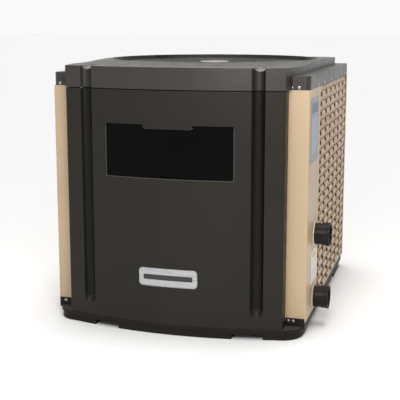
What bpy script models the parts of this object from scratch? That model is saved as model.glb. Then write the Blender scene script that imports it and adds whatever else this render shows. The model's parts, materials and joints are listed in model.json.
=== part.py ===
"""Top-discharge swimming pool heat pump, built as separate parts.

Metres, +Z up. The front faces -Y and the water connections are on the +X side. Parts are laid out
from the middle of the four corner posts, and one empty then moves the whole unit so that the middle
of its footprint is at the origin, with the feet on z = 0.
"""

import math

import bmesh
import bpy
from mathutils import Matrix, Vector

# Cabinet
CABINET_W = 0.800
CABINET_D = 0.848
PAN_BOTTOM_Z = 0.022
PAN_TOP_Z = 0.028
POST_BOTTOM_Z = 0.046
SEAM_Z = 0.738
FIT_GAP = 0.0003
SHEET_T = 0.002
MOULD_T = 0.004
CUT_OVER = 0.020

# Corner posts and louvred panels
POST_FACE_W = 0.065
POST_SIDE_W = 0.202
POST_REAR_SIDE_W = 0.022
LOUVRE_ROWS = 22
LOUVRE_COLUMNS = 6
LOUVRE_SLOT_H = 0.010
LOUVRE_SLOT_SHARE = 0.76
LOUVRE_INSET = 0.004
LOUVRE_MARGIN = 0.012

# Bowed front: the same arc shapes the panel, the tier of the cover and the base
FRONT_REACH = 0.095
FRONT_RADIUS = 1.209
FRONT_OVERLAP = 0.004
FRONT_STANDOFF = 0.0035
PANEL_BOTTOM_Z = 0.033
PANEL_TOP_GAP = 0.0025
GROOVE_INSET = 0.074
GROOVE_R = 0.020
GROOVE_DEPTH = 0.016
GROOVE_BOTTOM_Z = 0.088

# Top cover: a shoulder over the posts, a tier on it, and a low dome up to the lip of the fan recess
SHOULDER_H = 0.040
TIER_H = 0.024
TIER_SIDE_STEP = 0.038
TIER_BACK_STEP = 0.024
TIER_FRONT_STEP = 0.064
DOME_H = 0.0075
DOME_W = 0.090
COVER_SOFT_R = 0.006
SCOOP_DROP = 0.012
SCOOP_REACH = 0.039

# Base
PAN_SIDE_INSET = 0.006
PAN_BACK_INSET = 0.004
RIM_SIDE_INSET = 0.004
RIM_END_INSET = 0.0015
PAN_CORNER_INSET = 0.021
FRONT_FOOT_D = 0.074
REAR_FOOT_D = 0.174
LEFT_NOTCH = (-0.247, -0.165)
RIGHT_NOTCH = (0.191, 0.283)
NOTCH_TOP_Z = 0.015
DRAIN_R = 0.0125

# Control window in the front panel
WINDOW_HALF_W = 0.195
WINDOW_BOTTOM_Z = 0.478
WINDOW_TOP_Z = 0.635
TAB_HALF_W = 0.074
TAB_BOTTOM_Z = 0.6225
FLAP_GAP = 0.0015
FLAP_INSET = 0.002
FLAP_T = 0.003
FLAP_NOTCH_GAP = 0.002
HINGE_INSET = 0.0045
HINGE_DROP = 0.006
HINGE_PIN_R = 0.0012
HINGE_BARREL_R = 0.0028
FASCIA_INSET = 0.029
HOUSING_D = 0.084
HOUSING_WALL = 0.0025
DISPLAY_HALF_W = 0.070
DISPLAY_HALF_H = 0.025
DISPLAY_Z = 0.590
BUTTON_R = 0.008
BUTTON_PITCH = 0.045
BUTTON_Z = 0.525
BUTTON_COUNT = 4

# Nameplate and labels
BADGE_HALF_W = 0.091
BADGE_HALF_H = 0.028
BADGE_CORNER_R = 0.012
BADGE_T = 0.0022
BADGE_Z = 0.178
LABEL_T = 0.0006
UPPER_LABEL_INSET = 0.0905
UPPER_LABEL_Z = 0.615
LOWER_LABEL_Z = 0.190

# Fan and guard
FAN_BLADES = 4
FAN_TIP_R = 0.316
FAN_HUB_R = 0.055
FAN_HUB_H = 0.050
FAN_DROP = 0.018
TIP_GAP = 0.006
LEDGE_DROP = 0.012
LEDGE_W = 0.016
RECESS_RUN = 0.012
GUARD_T = 0.005
GUARD_WIRE_W = 0.004
GUARD_RINGS = 9
GUARD_SPOKES = 8
GUARD_HUB_R = 0.056
GUARD_GAP = 0.0025
HUB_PLATE_R = 0.050
HUB_PLATE_T = 0.003
SHROUD_GAP = 0.003
SHROUD_WALL = 0.004
SHROUD_H = 0.150
SHROUD_TOP_FLANGE = 0.010
SHROUD_LOW_FLANGE = 0.021
SHROUD_FLANGE_T = 0.003
SHAFT_R = 0.008
MOTOR_R = 0.066
MOTOR_GAP = 0.010
BRACKET_T = 0.006

# Water side
WATER_INSET = 0.139
WATER_UPPER_Z = 0.2875
WATER_LOWER_Z = 0.088
SOCKET_R = 0.0303
SLEEVE_WALL = 0.0029
SLEEVE_REACH = 0.047
SLEEVE_START = 0.028
NUT_WALL = 0.0025
NUT_GAP = 0.0005
NUT_W = 0.022
NUT_PAST = 0.002
EXCHANGER_INSET = 0.135
EXCHANGER_R = 0.090
EXCHANGER_TOP_Z = 0.460
DRIER_Z = 0.200
DRIER_HALF = 0.055
EXPANSION_H = 0.050

# Refrigeration side
COIL_T = 0.038
COIL_SIDE_GAP = 0.014
COIL_BACK_GAP = 0.032
COIL_FRONT_GAP = 0.037
COIL_TOP_Z = 0.600
COMPRESSOR_X = -0.140
COMPRESSOR_Y = 0.060
COMPRESSOR_R = 0.082
COMPRESSOR_TOP_Z = 0.410
ISOLATOR_H = 0.012
ACCUMULATOR_X = 0.020
ACCUMULATOR_Y = 0.100
ACCUMULATOR_R = 0.038
ACCUMULATOR_TOP_Z = 0.320
VALVE_X = -0.035
VALVE_Y = -0.060
VALVE_Z = 0.500
VALVE_PITCH = 0.038
VALVE_STUB = 0.030
LINE_R = 0.008

# Electrical side
PARTITION_INSET = 0.099
PARTITION_T = 0.0015
PARTITION_GAP = 0.010
PARTITION_TOP_Z = 0.600
BOX_LEFT_X = -0.300
BOX_RIGHT_X = 0.050
BOX_BOTTOM_Z = 0.120
BOX_TOP_Z = 0.440
BOX_DEPTH = 0.080
BOX_WALL = 0.0015
ARMATURE_X = -0.220
ARMATURE_Z = 0.360
CAPACITOR_X = -0.100
CAPACITOR_R = 0.022
TERMINAL_X = -0.060
TERMINAL_PITCH = 0.0225
TERMINALS = 4
GLAND_Z = 0.140
GLAND_R = 0.010
GLAND_BORE_R = 0.006

# Places that follow from the sizes above
HALF_W = CABINET_W / 2
HALF_D = CABINET_D / 2
SHOULDER_Z = SEAM_Z + SHOULDER_H
TOP_Z = SHOULDER_Z + TIER_H
LIP_Z = TOP_Z + DOME_H
FRONT_HALF_W = HALF_W - POST_FACE_W + FRONT_OVERLAP
FRONT_CROWN_Y = -HALF_D - FRONT_REACH
FRONT_RETURN_Y = -HALF_D - FRONT_STANDOFF
PANEL_TOP_Z = SEAM_Z - PANEL_TOP_GAP
GROOVE_X = FRONT_HALF_W - GROOVE_INSET
SCOOP_END_Y = -HALF_D + SCOOP_REACH
PAN_BOW_HALF_W = FRONT_HALF_W - PAN_CORNER_INSET
FLAP_NOTCH_TOP_Z = TAB_BOTTOM_Z - FLAP_NOTCH_GAP
HINGE_Y = FRONT_CROWN_Y + HINGE_INSET
HINGE_Z = WINDOW_TOP_Z - HINGE_DROP
FASCIA_Y = FRONT_CROWN_Y + FASCIA_INSET
HOUSING_BACK_Y = FRONT_CROWN_Y + HOUSING_D
OUTLET_R = FAN_TIP_R + TIP_GAP
LEDGE_R = OUTLET_R + LEDGE_W
LEDGE_Z = TOP_Z - LEDGE_DROP
RECESS_R = LEDGE_R + RECESS_RUN
DOME_R = RECESS_R + DOME_W
GUARD_R = LEDGE_R - GUARD_GAP
SHROUD_R = OUTLET_R + SHROUD_GAP
SHROUD_OUTER_R = SHROUD_R + SHROUD_WALL
SHROUD_BOTTOM_Z = LEDGE_Z - SHROUD_H
FAN_HUB_TOP_Z = LEDGE_Z - FAN_DROP
FAN_HUB_BOTTOM_Z = FAN_HUB_TOP_Z - FAN_HUB_H
MOTOR_TOP_Z = FAN_HUB_BOTTOM_Z - MOTOR_GAP
WATER_Y = -HALF_D + WATER_INSET
SLEEVE_R = SOCKET_R + SLEEVE_WALL
NUT_R = SLEEVE_R + NUT_GAP + NUT_WALL
EXCHANGER_X = HALF_W - EXCHANGER_INSET
DRIER_X = EXCHANGER_X - 0.145
DRIER_Y = WATER_Y + 0.135
COIL_HALF_W = HALF_W - COIL_SIDE_GAP
COIL_BACK_Y = HALF_D - COIL_BACK_GAP
COIL_FRONT_Y = -HALF_D + POST_SIDE_W + COIL_FRONT_GAP
PARTITION_Y = -HALF_D + PARTITION_INSET
PARTITION_RIGHT_X = EXCHANGER_X - EXCHANGER_R - PARTITION_GAP
ALONG_X = Matrix(((0, 0, 1, 0), (1, 0, 0, 0), (0, 1, 0, 0), (0, 0, 0, 1)))
ALONG_Y = Matrix(((1, 0, 0, 0), (0, 0, -1, 0), (0, 1, 0, 0), (0, 0, 0, 1)))
ALONG_Z = Matrix.Identity(4)

FINISHES = {
    "charcoal_plastic": ((0.040, 0.037, 0.033), 0.0, 0.45),
    "cover_plastic": ((0.045, 0.041, 0.036), 0.0, 0.50),
    "base_plastic": ((0.020, 0.019, 0.017), 0.0, 0.60),
    "beige_paint": ((0.68, 0.54, 0.38), 0.0, 0.40),
    "guard_paint": ((0.05, 0.05, 0.05), 0.0, 0.45),
    "hub_plate_plastic": ((0.55, 0.53, 0.48), 0.0, 0.40),
    "black_plastic": ((0.012, 0.012, 0.012), 0.0, 0.40),
    "smoked_plastic": ((0.006, 0.007, 0.008), 0.0, 0.08),
    "cream_rubber": ((0.60, 0.52, 0.40), 0.0, 0.70),
    "black_rubber": ((0.015, 0.015, 0.015), 0.0, 0.80),
    "galvanised_steel": ((0.45, 0.46, 0.47), 1.0, 0.45),
    "stainless_steel": ((0.60, 0.60, 0.60), 1.0, 0.30),
    "copper_pipe": ((0.72, 0.34, 0.18), 1.0, 0.30),
    "aluminium_fins": ((0.70, 0.71, 0.72), 1.0, 0.45),
    "compressor_enamel": ((0.01, 0.01, 0.011), 0.0, 0.35),
    "button_plastic": ((0.30, 0.31, 0.32), 0.0, 0.50),
    "circuit_board": ((0.02, 0.12, 0.05), 0.0, 0.50),
    "grey_plastic": ((0.30, 0.30, 0.29), 0.0, 0.55),
    "badge_enamel": ((0.75, 0.76, 0.78), 0.0, 0.25),
    "label_blue_grey": ((0.22, 0.27, 0.30), 0.0, 0.55),
    "label_white": ((0.80, 0.79, 0.76), 0.0, 0.50),
}


def clear_scene():
    for item in list(bpy.data.objects):
        bpy.data.objects.remove(item)


def new_collection(name, shown):
    made = bpy.data.collections.new(name)
    bpy.context.scene.collection.children.link(made)
    made.hide_render = not shown
    return made


def material_for(name, finish):
    colour, metallic, roughness = FINISHES[finish]
    made = bpy.data.materials.new(name + "_" + finish)
    made.use_nodes = True
    shader = made.node_tree.nodes["Principled BSDF"]
    shader.inputs["Base Color"].default_value = (*colour, 1.0)
    shader.inputs["Metallic"].default_value = metallic
    shader.inputs["Roughness"].default_value = roughness
    return made


class Unit:
    """The heat pump's collections, and the empty that carries every part."""

    def __init__(self):
        self.parts = new_collection("heat_pump_unit", True)
        self.cutters = new_collection("cutters", False)
        self.frame = bpy.data.objects.new("unit_frame", None)
        self.parts.objects.link(self.frame)

    def add(self, name, data, location=(0, 0, 0)):
        """Links a new object as a cutter until keep() makes it a part."""
        made = bpy.data.objects.new(name, data)
        made.location = location
        made.parent = self.frame
        self.cutters.objects.link(made)
        made.hide_render = True
        made.display_type = "WIRE"
        return made

    def keep(self, made, name, finish):
        """Makes a built solid a part of the unit, with its own name and material."""
        self.cutters.objects.unlink(made)
        self.parts.objects.link(made)
        made.hide_render = False
        made.display_type = "TEXTURED"
        made.name = name
        made.data.name = name
        made.data.materials.clear()
        made.data.materials.append(material_for(name, finish))
        return made


def shade(mesh, angle=math.radians(35)):
    mesh.shade_smooth()
    mesh.set_sharp_from_angle(angle=angle)


def block(unit, low, high):
    """A box between two corners, with its origin in its middle."""
    low = Vector(low)
    high = Vector(high)
    size = high - low
    form = bmesh.new()
    bmesh.ops.create_cube(form, size=1.0)
    bmesh.ops.scale(form, vec=size, verts=form.verts)
    mesh = bpy.data.meshes.new("block")
    form.to_mesh(mesh)
    form.free()
    return unit.add("block", mesh, (low + high) / 2)


def rod(unit, start, end, radius, segments=24, end_radius=None):
    """A solid round bar between two points, or a cone if end_radius is given."""
    start = Vector(start)
    end = Vector(end)
    run = end - start
    form = bmesh.new()
    bmesh.ops.create_cone(
        form,
        cap_ends=True,
        segments=segments,
        radius1=radius,
        radius2=radius if end_radius is None else end_radius,
        depth=run.length,
        matrix=run.to_track_quat("Z", "Y").to_matrix().to_4x4(),
    )
    mesh = bpy.data.meshes.new("rod")
    form.to_mesh(mesh)
    form.free()
    shade(mesh)
    return unit.add("rod", mesh, (start + end) / 2)


def plate(unit, outlines, low, high, along=ALONG_Z):
    """A flat outline, with any holes, made solid from low to high along one axis.

    The outline lies in XY for ALONG_Z and in YZ for ALONG_X. For ALONG_Y it lies in XZ, and
    low and high are then taken along Y.
    """
    curve = bpy.data.curves.new("outline", "CURVE")
    curve.dimensions = "2D"
    curve.fill_mode = "BOTH"
    curve.extrude = (high - low) / 2
    for outline in outlines:
        spline = curve.splines.new("POLY")
        spline.points.add(len(outline) - 1)
        for point, (u, v) in zip(spline.points, outline):
            point.co = (u, v, 0, 1)
        spline.use_cyclic_u = True
    drawn = bpy.data.objects.new("outline", curve)
    unit.cutters.objects.link(drawn)
    mesh = bpy.data.meshes.new_from_object(drawn)
    bpy.data.objects.remove(drawn)
    form = bmesh.new()
    form.from_mesh(mesh)
    bmesh.ops.remove_doubles(form, verts=form.verts, dist=1e-6)
    form.to_mesh(mesh)
    form.free()
    middle = (low + high) / 2
    mesh.transform(along)
    shade(mesh)
    place = {0: (middle, 0, 0), 1: (0, middle, 0), 2: (0, 0, middle)}
    axis = 0 if along is ALONG_X else 1 if along is ALONG_Y else 2
    return unit.add("plate", mesh, place[axis])


def turned(unit, profile, location, segments=32, toward=(0, 0, 1)):
    """A turned solid: (radius, height) points from its top round its outer side."""
    mesh = bpy.data.meshes.new("turned")
    points = [(radius, 0, height) for radius, height in profile]
    closed = profile[0][0] > 1e-6
    edges = [(i, i + 1) for i in range(len(points) - 1)]
    if closed:
        edges.append((len(points) - 1, 0))
    mesh.from_pydata(points, edges, [])
    made = unit.add("turned", mesh, location)
    made.rotation_euler = Vector(toward).to_track_quat("Z", "Y").to_euler()
    screw = made.modifiers.new("turn", "SCREW")
    screw.steps = segments
    screw.render_steps = segments
    screw.use_merge_vertices = True
    screw.merge_threshold = 0.0001
    screw.use_normal_calculate = False
    screw.use_smooth_shade = True
    return made


def tube(unit, points, radius, bend=0.02):
    """A solid pipe along a path, with each corner turned into a short bend."""
    path = [Vector(points[0])]
    for before, corner, after in zip(points, points[1:], points[2:]):
        corner = Vector(corner)
        enter = corner + (Vector(before) - corner).normalized() * bend
        leave = corner + (Vector(after) - corner).normalized() * bend
        for step in range(4):
            t = step / 3
            path.append(enter * (1 - t) ** 2 + corner * 2 * t * (1 - t) + leave * t**2)
    path.append(Vector(points[-1]))
    curve = bpy.data.curves.new("tube", "CURVE")
    curve.dimensions = "3D"
    curve.bevel_depth = radius
    curve.bevel_resolution = 2
    curve.use_fill_caps = True
    spline = curve.splines.new("POLY")
    spline.points.add(len(path) - 1)
    for point, place in zip(spline.points, path):
        point.co = (*place, 1)
    return unit.add("tube", curve)


def change(target, other, operation, solver="EXACT"):
    step = target.modifiers.new(operation.lower(), "BOOLEAN")
    step.operation = operation
    step.solver = solver
    step.object = other
    return target


def cut(target, *others):
    for other in others:
        change(target, other, "DIFFERENCE")
    return target


def fuse(target, *others):
    for other in others:
        change(target, other, "UNION")
    return target


def rounded(corners, steps=5):
    """Corner points (x, y, radius) as an outline, with each corner rounded by its radius."""
    outline = []
    count = len(corners)
    for index, (x, y, radius) in enumerate(corners):
        corner = Vector((x, y))
        if radius <= 0:
            outline.append((x, y))
            continue
        before = Vector(corners[index - 1][:2])
        after = Vector(corners[(index + 1) % count][:2])
        enter_way = (before - corner).normalized()
        leave_way = (after - corner).normalized()
        half = enter_way.angle(leave_way) / 2
        middle = corner + (enter_way + leave_way).normalized() * (radius / math.sin(half))
        enter = corner + enter_way * (radius / math.tan(half))
        leave = corner + leave_way * (radius / math.tan(half))
        start = math.atan2(enter.y - middle.y, enter.x - middle.x)
        sweep = math.atan2(leave.y - middle.y, leave.x - middle.x) - start
        sweep = (sweep + math.pi) % (2 * math.pi) - math.pi
        for step in range(steps + 1):
            turn = start + sweep * step / steps
            outline.append((middle.x + radius * math.cos(turn), middle.y + radius * math.sin(turn)))
    return outline


def rectangle(half_u, half_v, radius=0.0, centre=(0, 0), steps=5):
    u, v = centre
    return rounded(
        [
            (u - half_u, v - half_v, radius),
            (u + half_u, v - half_v, radius),
            (u + half_u, v + half_v, radius),
            (u - half_u, v + half_v, radius),
        ],
        steps,
    )


def circle(radius, segments, centre=(0, 0)):
    return [
        (
            centre[0] + radius * math.cos(2 * math.pi * i / segments),
            centre[1] + radius * math.sin(2 * math.pi * i / segments),
        )
        for i in range(segments)
    ]


def bow_y(x, inset=0.0):
    """How far forward the bowed front reaches at x, drawn in by inset."""
    middle_y = FRONT_CROWN_Y + FRONT_RADIUS
    return middle_y - math.sqrt((FRONT_RADIUS - inset) ** 2 - x**2)


def bow_arc(half_w, inset=0.0, steps=20):
    """The bowed front from -half_w to half_w, as corner points with no rounding."""
    xs = [half_w * (2 * i / steps - 1) for i in range(steps + 1)]
    return [(x, bow_y(x, inset), 0) for x in xs]


def soften(made, level, width, segments=3):
    """Rounds every edge that lies at the given height of a plain solid."""
    form = bmesh.new()
    form.from_mesh(made.data)
    height = level - made.location.z
    chosen = [e for e in form.edges if all(abs(v.co.z - height) < 1e-5 for v in e.verts)]
    rim = [e for e in chosen if e.calc_face_angle(0) > math.radians(30)]
    bmesh.ops.bevel(
        form,
        geom=rim,
        offset=width,
        segments=segments,
        profile=0.5,
        affect="EDGES",
        clamp_overlap=True,
    )
    form.to_mesh(made.data)
    form.free()
    shade(made.data)
    return made


def rebase(made, origin):
    """Moves a solid's origin to a point without moving the solid."""
    made.data.transform(Matrix.Translation(made.location - Vector(origin)))
    made.location = origin
    return made


# ---- Enclosure ----


def pan_outline(inset):
    """The base below the panel: bowed in front, with rounded front corners."""
    side_x = HALF_W - PAN_SIDE_INSET - inset
    back_y = HALF_D - PAN_BACK_INSET - inset
    corner_y = bow_y(PAN_BOW_HALF_W, inset) + 0.004
    front_r = 0.070
    back_r = 0.025
    return rounded(
        bow_arc(PAN_BOW_HALF_W, inset)
        + [(side_x, corner_y, front_r)]
        + [(side_x, back_y, back_r), (-side_x, back_y, back_r)]
        + [(-side_x, corner_y, front_r)]
    )


def rim_outline(inset):
    """The base's upright rim: under the posts, and just inside the front panel."""
    side_x = HALF_W - RIM_SIDE_INSET - inset
    front_y = -HALF_D + RIM_END_INSET + inset
    back_y = HALF_D - RIM_END_INSET - inset
    inner_x = FRONT_HALF_W - MOULD_T - 0.001 - inset
    clear = MOULD_T + 0.0015 + inset
    step_y = front_y - 0.001
    front_r = 0.004
    back_r = 0.015
    return rounded(
        bow_arc(inner_x, clear)
        + [(inner_x, step_y, 0), (side_x, front_y, front_r)]
        + [(side_x, back_y, back_r), (-side_x, back_y, back_r)]
        + [(-side_x, front_y, front_r), (-inner_x, step_y, 0)]
    )


def build_base_pan(unit):
    """A tray on two moulded feet, with a channel across its feet and a pair along them."""
    far_x = HALF_W + CUT_OVER
    far_y = HALF_D + FRONT_REACH + CUT_OVER
    rim_top = POST_BOTTOM_Z - FIT_GAP
    wall = 0.004
    pan = plate(unit, [pan_outline(0)], PAN_BOTTOM_Z, PANEL_BOTTOM_Z - 0.0005)
    fuse(pan, plate(unit, [rim_outline(0)], PAN_BOTTOM_Z + 0.003, rim_top))
    feet = plate(unit, [pan_outline(0.003)], 0, PAN_BOTTOM_Z + 0.002)
    for left, right in (LEFT_NOTCH, RIGHT_NOTCH):
        cut(feet, block(unit, (left, -far_y, -CUT_OVER), (right, far_y, NOTCH_TOP_Z)))
    gap_low = (-far_x, -HALF_D + FRONT_FOOT_D, -CUT_OVER)
    gap_high = (far_x, HALF_D - REAR_FOOT_D, PAN_BOTTOM_Z - 0.0005)
    cut(feet, block(unit, gap_low, gap_high))
    fuse(pan, feet)
    tab_x = FRONT_HALF_W + 0.001
    tab_t = 0.0025
    tab_top_z = POST_BOTTOM_Z + 0.011
    for side in (-1, 1):
        near, far = sorted((side * tab_x, side * (HALF_W - 0.003)))
        low = (near, -HALF_D - tab_t, PAN_BOTTOM_Z + 0.004)
        fuse(pan, block(unit, low, (far, -HALF_D - FIT_GAP, tab_top_z)))
    hollow = plate(unit, [rim_outline(wall)], PAN_TOP_Z, POST_BOTTOM_Z + CUT_OVER)
    change(pan, hollow, "DIFFERENCE", "MANIFOLD")
    drain_x = -HALF_W + 0.100
    drain_y = HALF_D - 0.124
    low = (drain_x, drain_y, -CUT_OVER)
    cut(pan, rod(unit, low, (drain_x, drain_y, PAN_TOP_Z + CUT_OVER), DRAIN_R))
    unit.keep(pan, "base_pan", "base_plastic")


def groove(unit, side, extra):
    """The round upright channel near one edge of the front, widened by extra on every side."""
    axis_y = bow_y(GROOVE_X) + GROOVE_DEPTH - GROOVE_R
    radius = GROOVE_R + extra
    top = LIP_Z + CUT_OVER
    profile = [(0, top), (radius, top)]
    for step in range(6):
        turn = math.pi / 2 * step / 6
        profile.append((radius * math.cos(turn), GROOVE_BOTTOM_Z - radius * math.sin(turn)))
    profile.append((0, GROOVE_BOTTOM_Z - radius))
    return turned(unit, profile, (side * GROOVE_X, axis_y, 0), 24)


def front_solid(unit, inset, low, high):
    """The bowed block that the front panel is a shell of, drawn in by inset."""
    half_w = FRONT_HALF_W - inset
    corner = max(0.006 - inset, 0.001)
    arc = bow_arc(half_w, inset)
    arc[0] = (*arc[0][:2], corner)
    arc[-1] = (*arc[-1][:2], corner)
    back_y = FRONT_RETURN_Y + inset
    return plate(unit, [rounded(arc + [(half_w, back_y, 0), (-half_w, back_y, 0)])], low, high)


def window_outline():
    return rounded(
        [
            (-WINDOW_HALF_W, WINDOW_BOTTOM_Z, 0.004),
            (WINDOW_HALF_W, WINDOW_BOTTOM_Z, 0.004),
            (WINDOW_HALF_W, WINDOW_TOP_Z, 0.003),
            (TAB_HALF_W, WINDOW_TOP_Z, 0),
            (TAB_HALF_W, TAB_BOTTOM_Z, 0.002),
            (-TAB_HALF_W, TAB_BOTTOM_Z, 0.002),
            (-TAB_HALF_W, WINDOW_TOP_Z, 0),
            (-WINDOW_HALF_W, WINDOW_TOP_Z, 0.003),
        ],
        3,
    )


def build_front_panel(unit):
    panel = front_solid(unit, 0, PANEL_BOTTOM_Z, PANEL_TOP_Z)
    hollow = front_solid(unit, MOULD_T, PANEL_BOTTOM_Z - CUT_OVER, PANEL_TOP_Z + CUT_OVER)
    cut(hollow, groove(unit, -1, MOULD_T), groove(unit, 1, MOULD_T))
    cut(panel, groove(unit, -1, 0), groove(unit, 1, 0), hollow)
    near_y = FRONT_CROWN_Y - CUT_OVER
    cut(panel, plate(unit, [window_outline()], near_y, FASCIA_Y + 0.010, ALONG_Y))
    boss_half_w = TAB_HALF_W - 0.001
    boss_low = (-boss_half_w, HINGE_Y - 0.0018, TAB_BOTTOM_Z + 0.0005)
    fuse(panel, block(unit, boss_low, (boss_half_w, HINGE_Y + 0.0050, WINDOW_TOP_Z + 0.003)))
    bore_r = HINGE_PIN_R + FIT_GAP
    reach = TAB_HALF_W + 0.006
    cut(panel, rod(unit, (-reach, HINGE_Y, HINGE_Z), (reach, HINGE_Y, HINGE_Z), bore_r, 12))
    unit.keep(panel, "front_panel", "charcoal_plastic")


def scoop(unit, side, extra):
    """Where a groove runs out onto the top of the cover, getting shallower towards the fan."""
    x = side * GROOVE_X
    radius = GROOVE_R + extra
    before = 0.030
    after = 0.080
    front_y = bow_y(GROOVE_X) - before
    slope = SCOOP_DROP / (SCOOP_END_Y - bow_y(GROOVE_X))
    start_z = TOP_Z - SCOOP_DROP - before * slope + GROOVE_R
    end_y = SCOOP_END_Y + after
    end_z = start_z + (end_y - front_y) * slope
    return rod(unit, (x, front_y, start_z), (x, end_y, end_z), radius)


def tier_outline(inset):
    """The raised tier of the cover: bowed in front, straight at the sides and back."""
    side_x = HALF_W - TIER_SIDE_STEP - inset
    front_y = -HALF_D + TIER_FRONT_STEP
    back_y = HALF_D - TIER_BACK_STEP - inset
    back_r = 0.045
    return rounded(
        bow_arc(FRONT_HALF_W - inset, inset)
        + [(side_x, front_y, 0), (side_x, back_y, back_r)]
        + [(-side_x, back_y, back_r), (-side_x, front_y, 0)]
    )


def cone_through(unit, low, high, wide, narrow, segments=64):
    """A cone from low to high whose side passes through two (radius, z) points."""
    (r1, z1), (r2, z2) = wide, narrow
    slope = (r2 - r1) / (z2 - z1)
    low_r = r1 + (low - z1) * slope
    high_r = r1 + (high - z1) * slope
    return rod(unit, (0, 0, low), (0, 0, high), low_r, segments, high_r)


def cover_dome(unit, inset, soft_r):
    """The low dome from the tier up to the lip of the fan recess, drawn in by inset."""
    foot_z = TOP_Z - 0.003 - inset
    edge_z = LIP_Z + 0.001 - inset
    body = plate(unit, [tier_outline(inset)], foot_z - 0.010, edge_z)
    if soft_r:
        soften(body, edge_z, soft_r)
    wide = (DOME_R, TOP_Z - inset)
    narrow = (RECESS_R, LIP_Z - inset)
    change(body, cone_through(unit, foot_z, LIP_Z - inset, wide, narrow), "INTERSECT")
    return body


def build_top_cover(unit):
    outline = rectangle(HALF_W, HALF_D, 0.018)
    cover = soften(plate(unit, [outline], SEAM_Z, SHOULDER_Z), SHOULDER_Z, COVER_SOFT_R)
    tier = soften(plate(unit, [tier_outline(0)], SEAM_Z, TOP_Z), TOP_Z, COVER_SOFT_R)
    fuse(cover, tier, cover_dome(unit, 0, COVER_SOFT_R))
    shoulder_hollow = rectangle(HALF_W - MOULD_T, HALF_D - MOULD_T, 0.014)
    hollow = plate(unit, [shoulder_hollow], SEAM_Z - CUT_OVER, SHOULDER_Z - MOULD_T)
    tier_hollow = plate(unit, [tier_outline(MOULD_T)], SEAM_Z - 0.010, TOP_Z - MOULD_T)
    for side in (-1, 1):
        cut(tier_hollow, groove(unit, side, MOULD_T), scoop(unit, side, MOULD_T))
    fuse(hollow, tier_hollow, cover_dome(unit, MOULD_T, 0))
    ledge_low = LEDGE_Z - MOULD_T
    collar_low = (LEDGE_R + MOULD_T, ledge_low)
    collar_high = (RECESS_R + 1.3 * MOULD_T, LIP_Z)
    cut(hollow, cone_through(unit, ledge_low, LIP_Z + CUT_OVER, collar_high, collar_low))
    change(cover, hollow, "DIFFERENCE", "MANIFOLD")
    for side in (-1, 1):
        cut(cover, groove(unit, side, 0), scoop(unit, side, 0))
    above = LIP_Z + 0.010
    cut(cover, cone_through(unit, LEDGE_Z, above, (RECESS_R, LIP_Z), (LEDGE_R, LEDGE_Z)))
    cut(cover, rod(unit, (0, 0, SEAM_Z), (0, 0, TOP_Z), OUTLET_R, 64))
    unit.keep(cover, "top_cover", "cover_plastic")


def post_outline(side, end, face_w, side_w):
    """An angle-section post at one corner: side is -1 or 1 in X, end is -1 or 1 in Y."""
    points = [
        (side * (HALF_W - face_w), end * HALF_D, 0),
        (side * HALF_W, end * HALF_D, 0.005),
        (side * HALF_W, end * (HALF_D - side_w), 0),
        (side * (HALF_W - SHEET_T), end * (HALF_D - side_w), 0),
        (side * (HALF_W - SHEET_T), end * (HALF_D - SHEET_T), 0.003),
        (side * (HALF_W - face_w), end * (HALF_D - SHEET_T), 0),
    ]
    return rounded(points)


def build_posts(unit):
    top_z = SEAM_Z - FIT_GAP
    inside = HALF_W - CUT_OVER
    outside = HALF_W + CUT_OVER
    for side, side_name in ((-1, "left"), (1, "right")):
        front = post_outline(side, -1, POST_FACE_W, POST_SIDE_W)
        post = plate(unit, [front], POST_BOTTOM_Z, top_z)
        if side > 0:
            for z in (WATER_LOWER_Z, WATER_UPPER_Z):
                hole_r = SLEEVE_R + 2 * FIT_GAP
                cut(post, rod(unit, (inside, WATER_Y, z), (outside, WATER_Y, z), hole_r, 32))
        else:
            low = (-outside, WATER_Y, GLAND_Z)
            cut(post, rod(unit, low, (-inside, WATER_Y, GLAND_Z), GLAND_R + FIT_GAP, 24))
        unit.keep(post, "post_front_" + side_name, "beige_paint")
        rear = post_outline(side, 1, POST_FACE_W, POST_REAR_SIDE_W)
        made = plate(unit, [rear], POST_BOTTOM_Z, top_z)
        unit.keep(made, "post_rear_" + side_name, "beige_paint")


def louvre_outlines(low_u, high_u, low_v, high_v):
    """A sheet's outline and its grid of slots, in rows and columns."""
    outlines = [[(low_u, low_v), (high_u, low_v), (high_u, high_v), (low_u, high_v)]]
    column = (high_u - low_u - 2 * LOUVRE_MARGIN) / LOUVRE_COLUMNS
    row = (high_v - low_v - 2 * LOUVRE_MARGIN) / LOUVRE_ROWS
    for i in range(LOUVRE_COLUMNS):
        u = low_u + LOUVRE_MARGIN + (i + 0.5) * column
        for j in range(LOUVRE_ROWS):
            v = low_v + LOUVRE_MARGIN + (j + 0.5) * row
            outlines.append(rectangle(column * LOUVRE_SLOT_SHARE / 2, LOUVRE_SLOT_H / 2, 0, (u, v)))
    return outlines


def build_louvre_panels(unit):
    low_z = POST_BOTTOM_Z + FIT_GAP
    high_z = SEAM_Z - 2 * FIT_GAP
    low_y = -HALF_D + POST_SIDE_W + FIT_GAP
    high_y = HALF_D - POST_REAR_SIDE_W - FIT_GAP
    outer_x = HALF_W - LOUVRE_INSET
    outlines = louvre_outlines(low_y, high_y, low_z, high_z)
    right = plate(unit, outlines, outer_x - SHEET_T, outer_x, ALONG_X)
    unit.keep(right, "louvre_panel_right", "beige_paint")
    left = plate(unit, outlines, -outer_x, -outer_x + SHEET_T, ALONG_X)
    unit.keep(left, "louvre_panel_left", "beige_paint")
    half = HALF_W - POST_FACE_W - FIT_GAP
    outer_y = HALF_D - LOUVRE_INSET
    outlines = louvre_outlines(-half, half, low_z, high_z)
    back = plate(unit, outlines, outer_y - SHEET_T, outer_y, ALONG_Y)
    unit.keep(back, "louvre_panel_back", "beige_paint")


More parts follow.
